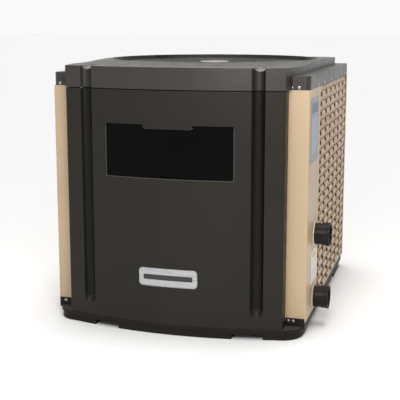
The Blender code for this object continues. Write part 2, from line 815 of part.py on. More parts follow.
def bow_block(unit, half_w, inset, low_z, high_z):
    """A block whose front is the bow, drawn in by inset, and whose back is flat."""
    back_y = -HALF_D + CUT_OVER
    outline = bow_arc(half_w, inset) + [(half_w, back_y, 0), (-half_w, back_y, 0)]
    return plate(unit, [rounded(outline)], low_z, high_z)


def build_badge(unit):
    """A blank nameplate that follows the bow of the panel."""
    outline = rectangle(BADGE_HALF_W, BADGE_HALF_H, BADGE_CORNER_R, (0, BADGE_Z))
    near_y = FRONT_CROWN_Y - CUT_OVER
    sheet = plate(unit, [outline], near_y, FRONT_CROWN_Y + CUT_OVER, ALONG_Y)
    half_w = BADGE_HALF_W + 0.040
    low_z = BADGE_Z - BADGE_HALF_H - CUT_OVER
    high_z = BADGE_Z + BADGE_HALF_H + CUT_OVER
    change(sheet, bow_block(unit, half_w, -BADGE_T, low_z, high_z), "INTERSECT")
    over = 0.010
    cut(sheet, bow_block(unit, half_w + over, -FIT_GAP, low_z - over, high_z + over))
    unit.keep(sheet, "nameplate_blank", "badge_enamel")


def build_labels(unit):
    low_x = HALF_W + FIT_GAP
    high_x = low_x + LABEL_T
    corner = 0.004
    upper = rectangle(0.0695, 0.096, corner, (-HALF_D + UPPER_LABEL_INSET, UPPER_LABEL_Z), 2)
    unit.keep(plate(unit, [upper], low_x, high_x, ALONG_X), "label_upper", "label_blue_grey")
    lower = rectangle(0.056, 0.050, corner, (WATER_Y - 0.006, LOWER_LABEL_Z), 2)
    unit.keep(plate(unit, [lower], low_x, high_x, ALONG_X), "label_lower", "label_white")


# ---- Fan ----


def guard_outlines():
    """Rings joined by spokes: the disc's edge, then each gap between two rings and two spokes."""
    outlines = [circle(GUARD_R, 48)]
    step = (GUARD_R - GUARD_HUB_R) / GUARD_RINGS
    half_wire = GUARD_WIRE_W / 2
    for ring in range(GUARD_RINGS):
        inner = GUARD_HUB_R + ring * step + (half_wire if ring else 0)
        outer = GUARD_HUB_R + (ring + 1) * step - half_wire
        if ring == GUARD_RINGS - 1:
            outer = GUARD_R - GUARD_WIRE_W * 1.5
        arcs = max(1, round(outer * 2 * math.pi / GUARD_SPOKES / 0.060))
        for spoke in range(GUARD_SPOKES):
            start = 2 * math.pi * spoke / GUARD_SPOKES
            end = 2 * math.pi * (spoke + 1) / GUARD_SPOKES
            gap = []
            for radius, way in ((inner, 1), (outer, -1)):
                skip = half_wire / radius
                turns = [start + skip + (end - start - 2 * skip) * i / arcs for i in range(arcs + 1)]
                for turn in turns[::way]:
                    gap.append((radius * math.cos(turn), radius * math.sin(turn)))
            outlines.append(gap)
    return outlines


def build_guard(unit):
    low = LEDGE_Z + FIT_GAP
    high = low + GUARD_T
    unit.keep(plate(unit, guard_outlines(), low, high), "fan_guard", "guard_paint")
    low = high + FIT_GAP
    top = low + HUB_PLATE_T
    hub = soften(plate(unit, [circle(HUB_PLATE_R, 40)], low, top), top, 0.001, 1)
    unit.keep(hub, "guard_hub_plate", "hub_plate_plastic")


def build_shroud(unit):
    top_z = LEDGE_Z - MOULD_T - FIT_GAP
    top_r = SHROUD_OUTER_R + SHROUD_TOP_FLANGE
    low_r = SHROUD_OUTER_R + SHROUD_LOW_FLANGE
    profile = [
        (SHROUD_R, top_z),
        (top_r, top_z),
        (top_r, top_z - SHROUD_FLANGE_T),
        (SHROUD_OUTER_R, top_z - SHROUD_FLANGE_T),
        (SHROUD_OUTER_R, SHROUD_BOTTOM_Z + SHROUD_FLANGE_T),
        (low_r, SHROUD_BOTTOM_Z + SHROUD_FLANGE_T),
        (low_r, SHROUD_BOTTOM_Z),
        (SHROUD_R, SHROUD_BOTTOM_Z),
    ]
    unit.keep(turned(unit, profile, (0, 0, 0), 40), "fan_shroud", "black_plastic")


def build_motor(unit):
    high = SHROUD_BOTTOM_Z - FIT_GAP
    low = high - BRACKET_T
    bracket = plate(unit, [circle(MOTOR_R + 0.010, 40)], low, high)
    reach = SHROUD_R + 0.018
    arm_half_w = 0.015
    fuse(bracket, block(unit, (-reach, -arm_half_w, low), (reach, arm_half_w, high)))
    fuse(bracket, block(unit, (-arm_half_w, -reach, low), (arm_half_w, reach, high)))
    unit.keep(bracket, "motor_bracket", "galvanised_steel")
    bore = SHAFT_R + FIT_GAP
    bore_end_z = MOTOR_TOP_Z - 0.030
    boss_r = SHAFT_R + 0.012
    boss_z = MOTOR_TOP_Z + 0.004
    chamfer = 0.008
    profile = [
        (0, bore_end_z),
        (bore, bore_end_z),
        (bore, boss_z),
        (boss_r, boss_z),
        (boss_r, MOTOR_TOP_Z),
        (MOTOR_R - chamfer, MOTOR_TOP_Z),
        (MOTOR_R, MOTOR_TOP_Z - chamfer),
        (MOTOR_R, SHROUD_BOTTOM_Z),
        (0, SHROUD_BOTTOM_Z),
    ]
    unit.keep(turned(unit, profile, (0, 0, 0), 24), "fan_motor", "galvanised_steel")
    low = bore_end_z + 0.0005
    high = FAN_HUB_TOP_Z + 0.004
    shaft = rod(unit, (0, 0, low), (0, 0, high), SHAFT_R)
    unit.keep(shaft, "motor_shaft", "stainless_steel")


def blade(unit, index):
    """One fan blade: a twisted, cambered sheet from inside the hub to the tip, made solid."""
    along = 7
    across = 5
    root_r = FAN_HUB_R - 0.012
    middle_z = (FAN_HUB_TOP_Z + FAN_HUB_BOTTOM_Z) / 2 - 0.0005
    points = []
    for i in range(along):
        share = i / (along - 1)
        radius = root_r + (FAN_TIP_R - root_r) * share
        chord = 0.085 + 0.100 * share
        pitch = math.radians(38 - 20 * share)
        lean = 0.30 * share
        for j in range(across):
            place = j / (across - 1) - 0.5
            camber = 0.010 * (1 - 4 * place**2)
            run = chord * place * math.cos(pitch)
            turn = 2 * math.pi * index / FAN_BLADES + lean + run / max(radius, 0.06)
            height = middle_z + chord * place * math.sin(pitch) * 0.85 + camber * 0.6
            points.append((radius * math.cos(turn), radius * math.sin(turn), height))
    faces = []
    for i in range(along - 1):
        for j in range(across - 1):
            a = i * across + j
            faces.append((a, a + across, a + across + 1, a + 1))
    mesh = bpy.data.meshes.new("blade")
    mesh.from_pydata(points, [], faces)
    made = unit.add("blade", mesh)
    thick = made.modifiers.new("thickness", "SOLIDIFY")
    thick.thickness = 0.003
    thick.offset = 0.0
    return made


def build_fan(unit):
    bore = SHAFT_R + FIT_GAP
    chamfer = 0.008
    profile = [
        (bore, FAN_HUB_TOP_Z),
        (FAN_HUB_R - chamfer, FAN_HUB_TOP_Z),
        (FAN_HUB_R, FAN_HUB_TOP_Z - chamfer),
        (FAN_HUB_R, FAN_HUB_BOTTOM_Z),
        (bore, FAN_HUB_BOTTOM_Z),
    ]
    fan = turned(unit, profile, (0, 0, 0), 32)
    for index in range(FAN_BLADES):
        fuse(fan, blade(unit, index))
    unit.keep(fan, "fan_rotor", "black_plastic")


# ---- Controls ----


def flap_outline():
    half_w = WINDOW_HALF_W - FLAP_GAP
    top = WINDOW_TOP_Z - FLAP_GAP
    low = WINDOW_BOTTOM_Z + FLAP_GAP
    notch = TAB_HALF_W + 0.0015
    finger_x = -0.009
    finger_r = 0.011
    finger = []
    for i in range(7):
        turn = math.pi - math.pi * i / 6
        finger.append((finger_x + finger_r * math.cos(turn), low + 0.6 * finger_r * math.sin(turn)))
    upper = [
        (half_w, low, 0.003),
        (half_w, top, 0.003),
        (notch, top, 0),
        (notch, FLAP_NOTCH_TOP_Z, 0),
        (-notch, FLAP_NOTCH_TOP_Z, 0),
        (-notch, top, 0),
        (-half_w, top, 0.003),
        (-half_w, low, 0.003),
    ]
    return rounded([(u, v, 0) for u, v in finger] + upper, 3)


def build_flap(unit):
    far_y = HOUSING_BACK_Y
    flap = plate(unit, [flap_outline()], FRONT_CROWN_Y - CUT_OVER, far_y, ALONG_Y)
    half_w = WINDOW_HALF_W + 0.045
    low_z = WINDOW_BOTTOM_Z - CUT_OVER
    high_z = WINDOW_TOP_Z + CUT_OVER
    over = 0.010
    change(flap, bow_block(unit, half_w, FLAP_INSET, low_z, high_z), "INTERSECT")
    back = FLAP_INSET + FLAP_T
    cut(flap, bow_block(unit, half_w + over, back, low_z - over, high_z + over))
    near = TAB_HALF_W + 0.0025
    barrel_w = 0.016
    for side in (-1, 1):
        start = (side * near, HINGE_Y, HINGE_Z)
        end = (side * (near + barrel_w), HINGE_Y, HINGE_Z)
        fuse(flap, rod(unit, start, end, HINGE_BARREL_R, 16))
    pin_half = near + barrel_w - 0.0015
    bore_r = HINGE_PIN_R + FIT_GAP
    for side in (-1, 1):
        start = (side * (near - 0.001), HINGE_Y, HINGE_Z)
        end = (side * (pin_half + FIT_GAP), HINGE_Y, HINGE_Z)
        cut(flap, rod(unit, start, end, bore_r, 12))
    rebase(flap, (0, HINGE_Y, HINGE_Z))
    unit.keep(flap, "control_flap", "smoked_plastic")
    pin = rod(unit, (-pin_half, HINGE_Y, HINGE_Z), (pin_half, HINGE_Y, HINGE_Z), HINGE_PIN_R, 12)
    unit.keep(pin, "flap_hinge_pin", "stainless_steel")


def button_x(index):
    return BUTTON_PITCH * (index - (BUTTON_COUNT - 1) / 2)


def build_control_housing(unit):
    half_w = WINDOW_HALF_W + 0.010
    low_z = WINDOW_BOTTOM_Z - 0.016
    high_z = WINDOW_TOP_Z + 0.018
    back_y = HOUSING_BACK_Y
    wall = HOUSING_WALL
    near_y = FRONT_CROWN_Y - 0.010
    housing = block(unit, (-half_w, near_y, low_z), (half_w, back_y, high_z))
    face = bow_block(
        unit, half_w + 0.045, MOULD_T + FIT_GAP, low_z - CUT_OVER, high_z + CUT_OVER
    )
    change(housing, face, "INTERSECT")
    low = (-half_w + wall, near_y - CUT_OVER, low_z + wall)
    cut(housing, block(unit, low, (half_w - wall, back_y - wall, high_z - wall)))
    unit.keep(housing, "control_housing", "black_plastic")
    inner = half_w - wall - FIT_GAP
    middle_z = (low_z + high_z) / 2
    half_h = (high_z - low_z) / 2 - wall - FIT_GAP
    lip = 0.0035
    outlines = [
        rectangle(inner, half_h, 0, (0, middle_z)),
        rectangle(DISPLAY_HALF_W - lip + FIT_GAP, DISPLAY_HALF_H - lip + FIT_GAP, 0, (0, DISPLAY_Z)),
    ]
    for index in range(BUTTON_COUNT):
        outlines.append(circle(BUTTON_R + 3 * FIT_GAP, 16, (button_x(index), BUTTON_Z)))
    fascia = plate(unit, outlines, FASCIA_Y, FASCIA_Y + 0.0025, ALONG_Y)
    unit.keep(fascia, "control_fascia", "charcoal_plastic")


def build_control_parts(unit):
    face_y = FASCIA_Y - FIT_GAP
    half_w = DISPLAY_HALF_W
    half_h = DISPLAY_HALF_H
    low = (-half_w, face_y - 0.0025, DISPLAY_Z - half_h)
    display = block(unit, low, (half_w, face_y, DISPLAY_Z + half_h))
    lip = 0.0035
    low = (-half_w + lip, face_y - 0.001, DISPLAY_Z - half_h + lip)
    high = (half_w - lip, FASCIA_Y + 0.010, DISPLAY_Z + half_h - lip)
    fuse(display, block(unit, low, high))
    unit.keep(display, "display_module", "smoked_plastic")
    for index in range(BUTTON_COUNT):
        front = 0.0035
        flange = -0.0028
        flange_r = BUTTON_R + 0.0015
        stem_r = BUTTON_R / 2
        stem_end = -0.0123
        profile = [
            (0, front),
            (BUTTON_R - 0.001, front),
            (BUTTON_R, front - 0.001),
            (BUTTON_R, flange),
            (flange_r, flange),
            (flange_r, flange - 0.0016),
            (stem_r, flange - 0.0016),
            (stem_r, stem_end),
            (0, stem_end),
        ]
        place = (button_x(index), FASCIA_Y, BUTTON_Z)
        made = turned(unit, profile, place, 12, (0, -1, 0))
        unit.keep(made, "button_" + str(index + 1), "button_plastic")
    board_half_w = WINDOW_HALF_W - 0.045
    board_y = FASCIA_Y + 0.016
    low = (-board_half_w, board_y, WINDOW_BOTTOM_Z + 0.012)
    board = block(unit, low, (board_half_w, board_y + 0.0016, WINDOW_TOP_Z - 0.005))
    unit.keep(board, "control_board", "circuit_board")


# ---- Electrical ----


def build_electrical(unit):
    front_y = PARTITION_Y
    left = -HALF_W + SHEET_T + 0.002
    low = (left, front_y, PAN_TOP_Z + FIT_GAP)
    high = (PARTITION_RIGHT_X, front_y + PARTITION_T, PARTITION_TOP_Z)
    made = block(unit, low, high)
    notch_low = (left - CUT_OVER, front_y - CUT_OVER, 0)
    cut(made, block(unit, notch_low, (left + 0.004, front_y + CUT_OVER, POST_BOTTOM_Z + 0.004)))
    unit.keep(made, "partition_panel", "galvanised_steel")
    wall = BOX_WALL
    back_y = front_y - FIT_GAP
    mouth_y = back_y - BOX_DEPTH
    low = Vector((BOX_LEFT_X, mouth_y, BOX_BOTTOM_Z))
    high = Vector((BOX_RIGHT_X, back_y, BOX_TOP_Z))
    case = block(unit, low, high)
    inner_low = (low.x + wall, low.y - CUT_OVER, low.z + wall)
    cut(case, block(unit, inner_low, (high.x - wall, high.y - wall, high.z - wall)))
    unit.keep(case, "electrical_box", "galvanised_steel")
    lid_low = (low.x, mouth_y - FIT_GAP - wall, low.z)
    lid = block(unit, lid_low, (high.x, mouth_y - FIT_GAP, high.z))
    unit.keep(lid, "electrical_box_cover", "galvanised_steel")
    floor_y = back_y - wall - FIT_GAP
    build_contactor(unit, floor_y)
    build_capacitor(unit, floor_y)
    build_terminals(unit, floor_y)


def build_capacitor(unit, floor_y):
    low = 0.240
    top = 0.340
    crimp = 0.004
    profile = [
        (0, top),
        (CAPACITOR_R - 0.003, top),
        (CAPACITOR_R, top - crimp),
        (CAPACITOR_R, low),
        (0, low),
    ]
    made = turned(unit, profile, (CAPACITOR_X, floor_y - CAPACITOR_R - 0.0005, 0), 24)
    unit.keep(made, "run_capacitor", "stainless_steel")


def build_terminals(unit, floor_y):
    """A moulded strip with one open bay for each terminal."""
    low_z = 0.220
    high_z = 0.250
    end_x = TERMINAL_X + TERMINALS * TERMINAL_PITCH
    strip = block(unit, (TERMINAL_X, floor_y - 0.030, low_z), (end_x, floor_y, high_z))
    bay_half_w = TERMINAL_PITCH / 2 - 0.00325
    for index in range(TERMINALS):
        x = TERMINAL_X + TERMINAL_PITCH * (index + 0.5)
        low = (x - bay_half_w, floor_y - 0.030 - CUT_OVER, low_z + 0.012)
        cut(strip, block(unit, low, (x + bay_half_w, floor_y - 0.012, high_z + CUT_OVER)))
    unit.keep(strip, "terminal_block", "grey_plastic")


def build_contactor(unit, floor_y):
    half_w = 0.032
    half_h = 0.038
    depth = 0.055
    x = ARMATURE_X
    z = ARMATURE_Z
    front_y = floor_y - depth
    body = block(unit, (x - half_w, front_y, z - half_h), (x + half_w, floor_y, z + half_h))
    slot_w = 0.0080
    slot_h = 0.0120
    pocket = (x - slot_w, front_y - CUT_OVER, z - slot_h)
    cut(body, block(unit, pocket, (x + slot_w, front_y + 0.020, z + slot_h)))
    unit.keep(body, "contactor", "black_plastic")
    gap = 0.0004
    low = (x - slot_w + gap, front_y - 0.004, z - slot_h + gap)
    made = block(unit, low, (x + slot_w - gap, front_y + 0.014, z + slot_h - gap))
    unit.keep(made, "contactor_armature", "grey_plastic")


def build_gland(unit):
    """The mains cable's entry, through the side of the front left post."""
    outer = HALF_W + FIT_GAP
    reach = 0.020
    shank = -0.012
    profile = [
        (GLAND_BORE_R, reach),
        (GLAND_R + 0.0005, reach),
        (GLAND_R + 0.0040, reach - 0.010),
        (GLAND_R + 0.0045, 0.0),
        (GLAND_R, 0.0),
        (GLAND_R, shank),
        (GLAND_BORE_R, shank),
    ]
    made = turned(unit, profile, (-outer, WATER_Y, GLAND_Z), 16, (-1, 0, 0))
    unit.keep(made, "cable_gland", "black_plastic")


# ---- Water ----


def build_heat_exchanger(unit):
    top = EXCHANGER_TOP_Z
    low = PAN_TOP_Z + FIT_GAP
    profile = [
        (0, top),
        (EXCHANGER_R - 0.025, top),
        (EXCHANGER_R - 0.008, top - 0.007),
        (EXCHANGER_R, top - 0.025),
        (EXCHANGER_R, low),
        (0, low),
    ]
    shell = turned(unit, profile, (EXCHANGER_X, WATER_Y, 0), 32)
    end_x = HALF_W - SLEEVE_START
    stub_r = SOCKET_R + 0.0057
    bore_x = end_x - 0.030
    for z in (WATER_LOWER_Z, WATER_UPPER_Z):
        fuse(shell, rod(unit, (EXCHANGER_X, WATER_Y, z), (end_x, WATER_Y, z), stub_r, 32))
        far_x = end_x + CUT_OVER
        cut(shell, rod(unit, (bore_x, WATER_Y, z), (far_x, WATER_Y, z), SOCKET_R, 32))
    unit.keep(shell, "heat_exchanger", "grey_plastic")


def build_water_fittings(unit):
    start_x = HALF_W - SLEEVE_START + FIT_GAP
    end_x = HALF_W + SLEEVE_REACH
    for name, z in (("inlet", WATER_LOWER_Z), ("outlet", WATER_UPPER_Z)):
        length = end_x - start_x
        profile = [(SOCKET_R, length), (SLEEVE_R, length), (SLEEVE_R, 0), (SOCKET_R, 0)]
        sleeve = turned(unit, profile, (start_x, WATER_Y, z), 28, (1, 0, 0))
        unit.keep(sleeve, "water_" + name + "_sleeve", "black_plastic")
        ring_in = SLEEVE_R + 2 * FIT_GAP
        ring_out = ring_in + 0.0067
        rim = [(ring_in, 0.003), (ring_out - 0.002, 0.003), (ring_out, 0), (ring_in, 0)]
        ring = turned(unit, rim, (HALF_W + FIT_GAP, WATER_Y, z), 28, (1, 0, 0))
        unit.keep(ring, "water_" + name + "_grommet", "cream_rubber")
        nut_in = SLEEVE_R + NUT_GAP
        grip_r = NUT_R - 0.0010
        half = NUT_W / 2
        grip = [
            (nut_in, half),
            (NUT_R, half),
            (NUT_R, half - 0.006),
            (grip_r, half - 0.008),
            (grip_r, -half),
            (nut_in, -half),
        ]
        nut = turned(unit, grip, (end_x - half + NUT_PAST, WATER_Y, z), 28, (1, 0, 0))
        unit.keep(nut, "water_" + name + "_nut", "black_plastic")


# ---- Refrigeration ----


def build_coil(unit):
    outer = COIL_HALF_W
    inner = outer - COIL_T
    back = COIL_BACK_Y
    inner_r = 0.025
    outline = rounded(
        [
            (-outer, COIL_FRONT_Y, 0),
            (-inner, COIL_FRONT_Y, 0),
            (-inner, back - COIL_T, inner_r),
            (inner, back - COIL_T, inner_r),
            (inner, COIL_FRONT_Y, 0),
            (outer, COIL_FRONT_Y, 0),
            (outer, back, inner_r + COIL_T),
            (-outer, back, inner_r + COIL_T),
        ]
    )
    coil = plate(unit, [outline], PAN_TOP_Z + FIT_GAP, COIL_TOP_Z)
    unit.keep(coil, "evaporator_coil", "aluminium_fins")


def build_compressor(unit):
    rest_z = PAN_TOP_Z + FIT_GAP
    foot_z = rest_z + ISOLATOR_H + FIT_GAP
    low = foot_z + 0.003
    top = COMPRESSOR_TOP_Z
    profile = [
        (0, top),
        (COMPRESSOR_R - 0.052, top - 0.002),
        (COMPRESSOR_R - 0.020, top - 0.016),
        (COMPRESSOR_R, top - 0.040),
        (COMPRESSOR_R, low + 0.030),
        (COMPRESSOR_R - 0.015, low),
        (0, low),
    ]
    made = turned(unit, profile, (COMPRESSOR_X, COMPRESSOR_Y, 0), 28)
    foot_half = COMPRESSOR_R + 0.013
    foot = rectangle(foot_half, foot_half, 0.030, (COMPRESSOR_X, COMPRESSOR_Y))
    fuse(made, plate(unit, [foot], foot_z, low + 0.001))
    unit.keep(made, "compressor", "compressor_enamel")
    outer = COMPRESSOR_R + 0.010
    inner = COMPRESSOR_R - 0.022
    ring = [(inner, ISOLATOR_H), (outer, ISOLATOR_H), (outer, 0), (inner, 0)]
    made = turned(unit, ring, (COMPRESSOR_X, COMPRESSOR_Y, rest_z), 20)
    unit.keep(made, "compressor_isolator", "black_rubber")
    top = ACCUMULATOR_TOP_Z
    profile = [
        (0, top),
        (ACCUMULATOR_R - 0.014, top - 0.004),
        (ACCUMULATOR_R, top - 0.020),
        (ACCUMULATOR_R, rest_z),
        (0, rest_z),
    ]
    made = turned(unit, profile, (ACCUMULATOR_X, ACCUMULATOR_Y, 0), 24)
    unit.keep(made, "suction_accumulator", "compressor_enamel")


def build_valves(unit):
    half = VALVE_PITCH + 0.027
    start = (VALVE_X - half, VALVE_Y, VALVE_Z)
    valve = rod(unit, start, (VALVE_X + half, VALVE_Y, VALVE_Z), 0.016)
    stub_r = LINE_R + 0.002
    high = (VALVE_X, VALVE_Y, VALVE_Z + VALVE_STUB)
    fuse(valve, rod(unit, (VALVE_X, VALVE_Y, VALVE_Z), high, stub_r, 16))
    for index in (-1, 0, 1):
        x = VALVE_X + index * VALVE_PITCH
        low = (x, VALVE_Y, VALVE_Z - VALVE_STUB)
        fuse(valve, rod(unit, (x, VALVE_Y, VALVE_Z), low, stub_r, 16))
    unit.keep(valve, "reversing_valve", "copper_pipe")
    neck_r = 0.009
    body_r = 0.020
    half = DRIER_HALF
    shoulder = half - 0.015
    profile = [(0, half), (neck_r, half), (body_r, shoulder)]
    profile += [(body_r, -shoulder), (neck_r, -half), (0, -half)]
    drier = turned(unit, profile, (DRIER_X, DRIER_Y, DRIER_Z), 16)
    unit.keep(drier, "filter_drier", "copper_pipe")
    stem_r = 0.010
    head_r = 0.018
    head_h = 0.015
    profile = [
        (0, EXPANSION_H),
        (head_r, EXPANSION_H),
        (head_r, EXPANSION_H - head_h),
        (stem_r, EXPANSION_H - head_h),
        (stem_r, 0),
        (0, 0),
    ]
    place = (DRIER_X, DRIER_Y, DRIER_Z + DRIER_HALF + FIT_GAP)
    unit.keep(turned(unit, profile, place, 16), "expansion_valve", "copper_pipe")


def build_lines(unit):
    gap = FIT_GAP
    valve_top = VALVE_Z + VALVE_STUB + gap
    valve_low = VALVE_Z - VALVE_STUB - gap
    over_z = VALVE_Z + 0.065
    under_z = VALVE_Z - 0.070
    gas_z = VALVE_Z - 0.060
    inner_x = COIL_HALF_W - COIL_T - gap
    near_x = inner_x - 0.0477
    coil_y = COIL_FRONT_Y + 0.065
    drop_y = DRIER_Y + 0.050
    compressor = (COMPRESSOR_X, COMPRESSOR_Y)
    accumulator = (ACCUMULATOR_X, ACCUMULATOR_Y)
    exchanger = (EXCHANGER_X, WATER_Y)
    expansion_top = DRIER_Z + DRIER_HALF + EXPANSION_H + 2 * gap
    runs = {
        "discharge_line": [
            (*compressor, COMPRESSOR_TOP_Z + gap),
            (*compressor, over_z),
            (VALVE_X, VALVE_Y, over_z),
            (VALVE_X, VALVE_Y, valve_top),
        ],
        "suction_line": [
            (VALVE_X, VALVE_Y, valve_low),
            (VALVE_X, VALVE_Y, under_z),
            (*accumulator, under_z),
            (*accumulator, ACCUMULATOR_TOP_Z + gap),
        ],
        "coil_gas_line": [
            (VALVE_X - VALVE_PITCH, VALVE_Y, valve_low),
            (VALVE_X - VALVE_PITCH, VALVE_Y, gas_z),
            (-near_x, coil_y, gas_z),
            (-inner_x, coil_y, gas_z),
        ],
        "exchanger_gas_line": [
            (VALVE_X + VALVE_PITCH, VALVE_Y, valve_low),
            (VALVE_X + VALVE_PITCH, VALVE_Y, under_z),
            (DRIER_X, drop_y, under_z),
            (DRIER_X, drop_y, EXCHANGER_TOP_Z + 0.060),
            (*exchanger, EXCHANGER_TOP_Z + 0.060),
            (*exchanger, EXCHANGER_TOP_Z + gap),
        ],
        "liquid_line": [
            (EXCHANGER_X - EXCHANGER_R - gap, WATER_Y, 0.100),
            (DRIER_X, WATER_Y, 0.100),
            (DRIER_X, DRIER_Y, 0.100),
            (DRIER_X, DRIER_Y, DRIER_Z - DRIER_HALF - gap),
        ],
        "expansion_line": [
            (DRIER_X, DRIER_Y, expansion_top),
            (DRIER_X, DRIER_Y, expansion_top + 0.054),
            (near_x, coil_y, expansion_top + 0.054),
            (inner_x, coil_y, expansion_top + 0.054),
        ],
    }
    for name, points in runs.items():
        unit.keep(tube(unit, points, LINE_R), name, "copper_pipe")


def settle(unit):
    """Moves the whole unit so that the middle of its footprint is at the origin, feet on z = 0."""
    graph = bpy.context.evaluated_depsgraph_get()
    low = Vector((1e9, 1e9, 1e9))
    high = -low
    for part in unit.parts.objects:
        if part.type == "EMPTY":
            continue
        shown = part.evaluated_get(graph)
        mesh = shown.to_mesh()
        for vertex in mesh.vertices:
            place = part.matrix_world @ vertex.co
            low = Vector(map(min, low, place))
            high = Vector(map(max, high, place))
        shown.to_mesh_clear()
    unit.frame.location = (-(low.x + high.x) / 2, -(low.y + high.y) / 2, -low.z)
    bpy.context.view_layer.update()


def main():
    clear_scene()
    unit = Unit()
    build_base_pan(unit)
    build_front_panel(unit)
    build_top_cover(unit)
    build_posts(unit)
    build_louvre_panels(unit)
    build_badge(unit)
    build_labels(unit)
    build_guard(unit)
    build_shroud(unit)
    build_motor(unit)
    build_fan(unit)
    build_flap(unit)
    build_control_housing(unit)
    build_control_parts(unit)
    build_electrical(unit)
    build_gland(unit)
    build_heat_exchanger(unit)
    build_water_fittings(unit)
    build_coil(unit)
    build_compressor(unit)
    build_valves(unit)
    build_lines(unit)
    settle(unit)


main()
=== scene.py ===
import json
import math

import bmesh
import bpy
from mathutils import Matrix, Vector


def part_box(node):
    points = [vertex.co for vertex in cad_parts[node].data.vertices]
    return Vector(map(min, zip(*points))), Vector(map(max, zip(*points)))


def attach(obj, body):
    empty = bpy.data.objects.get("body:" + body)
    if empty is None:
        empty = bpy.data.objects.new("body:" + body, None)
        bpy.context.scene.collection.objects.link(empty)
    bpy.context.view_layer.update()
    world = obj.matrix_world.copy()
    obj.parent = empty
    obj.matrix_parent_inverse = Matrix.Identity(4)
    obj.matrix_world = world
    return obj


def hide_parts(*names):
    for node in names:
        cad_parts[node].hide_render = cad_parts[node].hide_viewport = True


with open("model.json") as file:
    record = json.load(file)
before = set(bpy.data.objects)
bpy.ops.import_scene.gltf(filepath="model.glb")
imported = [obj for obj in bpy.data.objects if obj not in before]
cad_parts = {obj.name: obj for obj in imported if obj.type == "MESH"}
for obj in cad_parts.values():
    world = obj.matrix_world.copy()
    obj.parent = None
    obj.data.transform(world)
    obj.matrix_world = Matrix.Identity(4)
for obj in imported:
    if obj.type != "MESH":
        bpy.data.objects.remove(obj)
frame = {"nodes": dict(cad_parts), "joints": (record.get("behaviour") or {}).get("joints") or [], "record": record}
bpy.context.view_layer.update()

MM = 0.001

# Linear colours
CHARCOAL = (0.0165, 0.0145, 0.0115)
CHARCOAL_TOP = (0.025, 0.022, 0.018)
BASE_BLACK = (0.014, 0.012, 0.0095)
BEIGE = (0.500, 0.370, 0.232)
GUARD_BLACK = (0.060, 0.058, 0.055)
FITTING_BLACK = (0.009, 0.008, 0.008)
DUST = (0.175, 0.162, 0.140)
# Painted highlight on the up-facing floors of the cover's scoops
SCOOP_HIGHLIGHT = (0.30, 0.285, 0.255)
# Painted highlight round the window's sides and bottom
RIM_HIGHLIGHT = (0.105, 0.098, 0.088)

# The two upright grooves and the scoops that they end in, as the front panel and the cover have them
GROOVE_INSET = 0.074
GROOVE_HALF_W = 0.0185
GROOVE_BOTTOM = 0.088
SCOOP_LENGTH = 0.105
SCOOP_FADE = 0.020
SCOOP_FOOT = 0.030
SCOOP_FOOT_FADE = 0.006

# The painted highlight round the window, a lighter band measured out from the flap, and where it stops below its
# top
RIM_INNER = 0.0020
RIM_OUTER = 0.0042
RIM_STOP = 0.004

# Pressed louvres: the same rows and columns as the slots of the CAD panels
LOUVRE_ROWS = 22
LOUVRE_COLUMNS = 6
LOUVRE_MARGIN = 0.012
HOOD_SHARE = 0.86
HOOD_HALF_H = 0.0088
HOOD_PROUD = 0.0068
HOOD_TAIL = 0.024
SHEET_T = 0.0012

# Fan guard
RING_PITCH = 0.0124
RING_WIRE_R = 0.0016
SPOKE_WIRE_R = 0.0021
SPOKES = 8

# Screws: how far the cover's screws stand above its lower edge, and where the base's screws are
COVER_SCREW_UP = 0.0068
BASE_SCREW_Z = 0.0485
BASE_TAB_T = 0.0025

# Nameplate bead
BEAD_R = 0.0008
BEAD_CORNER = 0.012
BEAD_STEP = 0.008

# Light
BACKDROP = 0.955
CEILING = 0.22
OVERHEAD = 2.2
KEY_POWER = 19.0
OVERHEAD_SPREAD = math.radians(42)
KEY_AT = (0.45, -1.75, 1.30)
KEY_TARGET = (0.1, -0.1, 0.50)
KEY_SIZE = (0.8, 0.8)
KEY_SHINE = 0.4
FLOOR_REACH = 60.0

# Camera: in front, a little to the right, and tilted down a little
CAMERA_AT = (0.7962, -2.8958, 0.9300)
CAMERA_AZIMUTH = math.radians(16.326)
CAMERA_DOWN = math.radians(9.840)
CAMERA_LENS = 79.874
CAMERA_SHIFT_Y = -0.06


def joint(name):
    return next(j for j in frame["joints"] if j["name"] == name)


FAN_AXIS = Vector(joint("fan_spin")["pos_m"])


# ---- Shaders ----


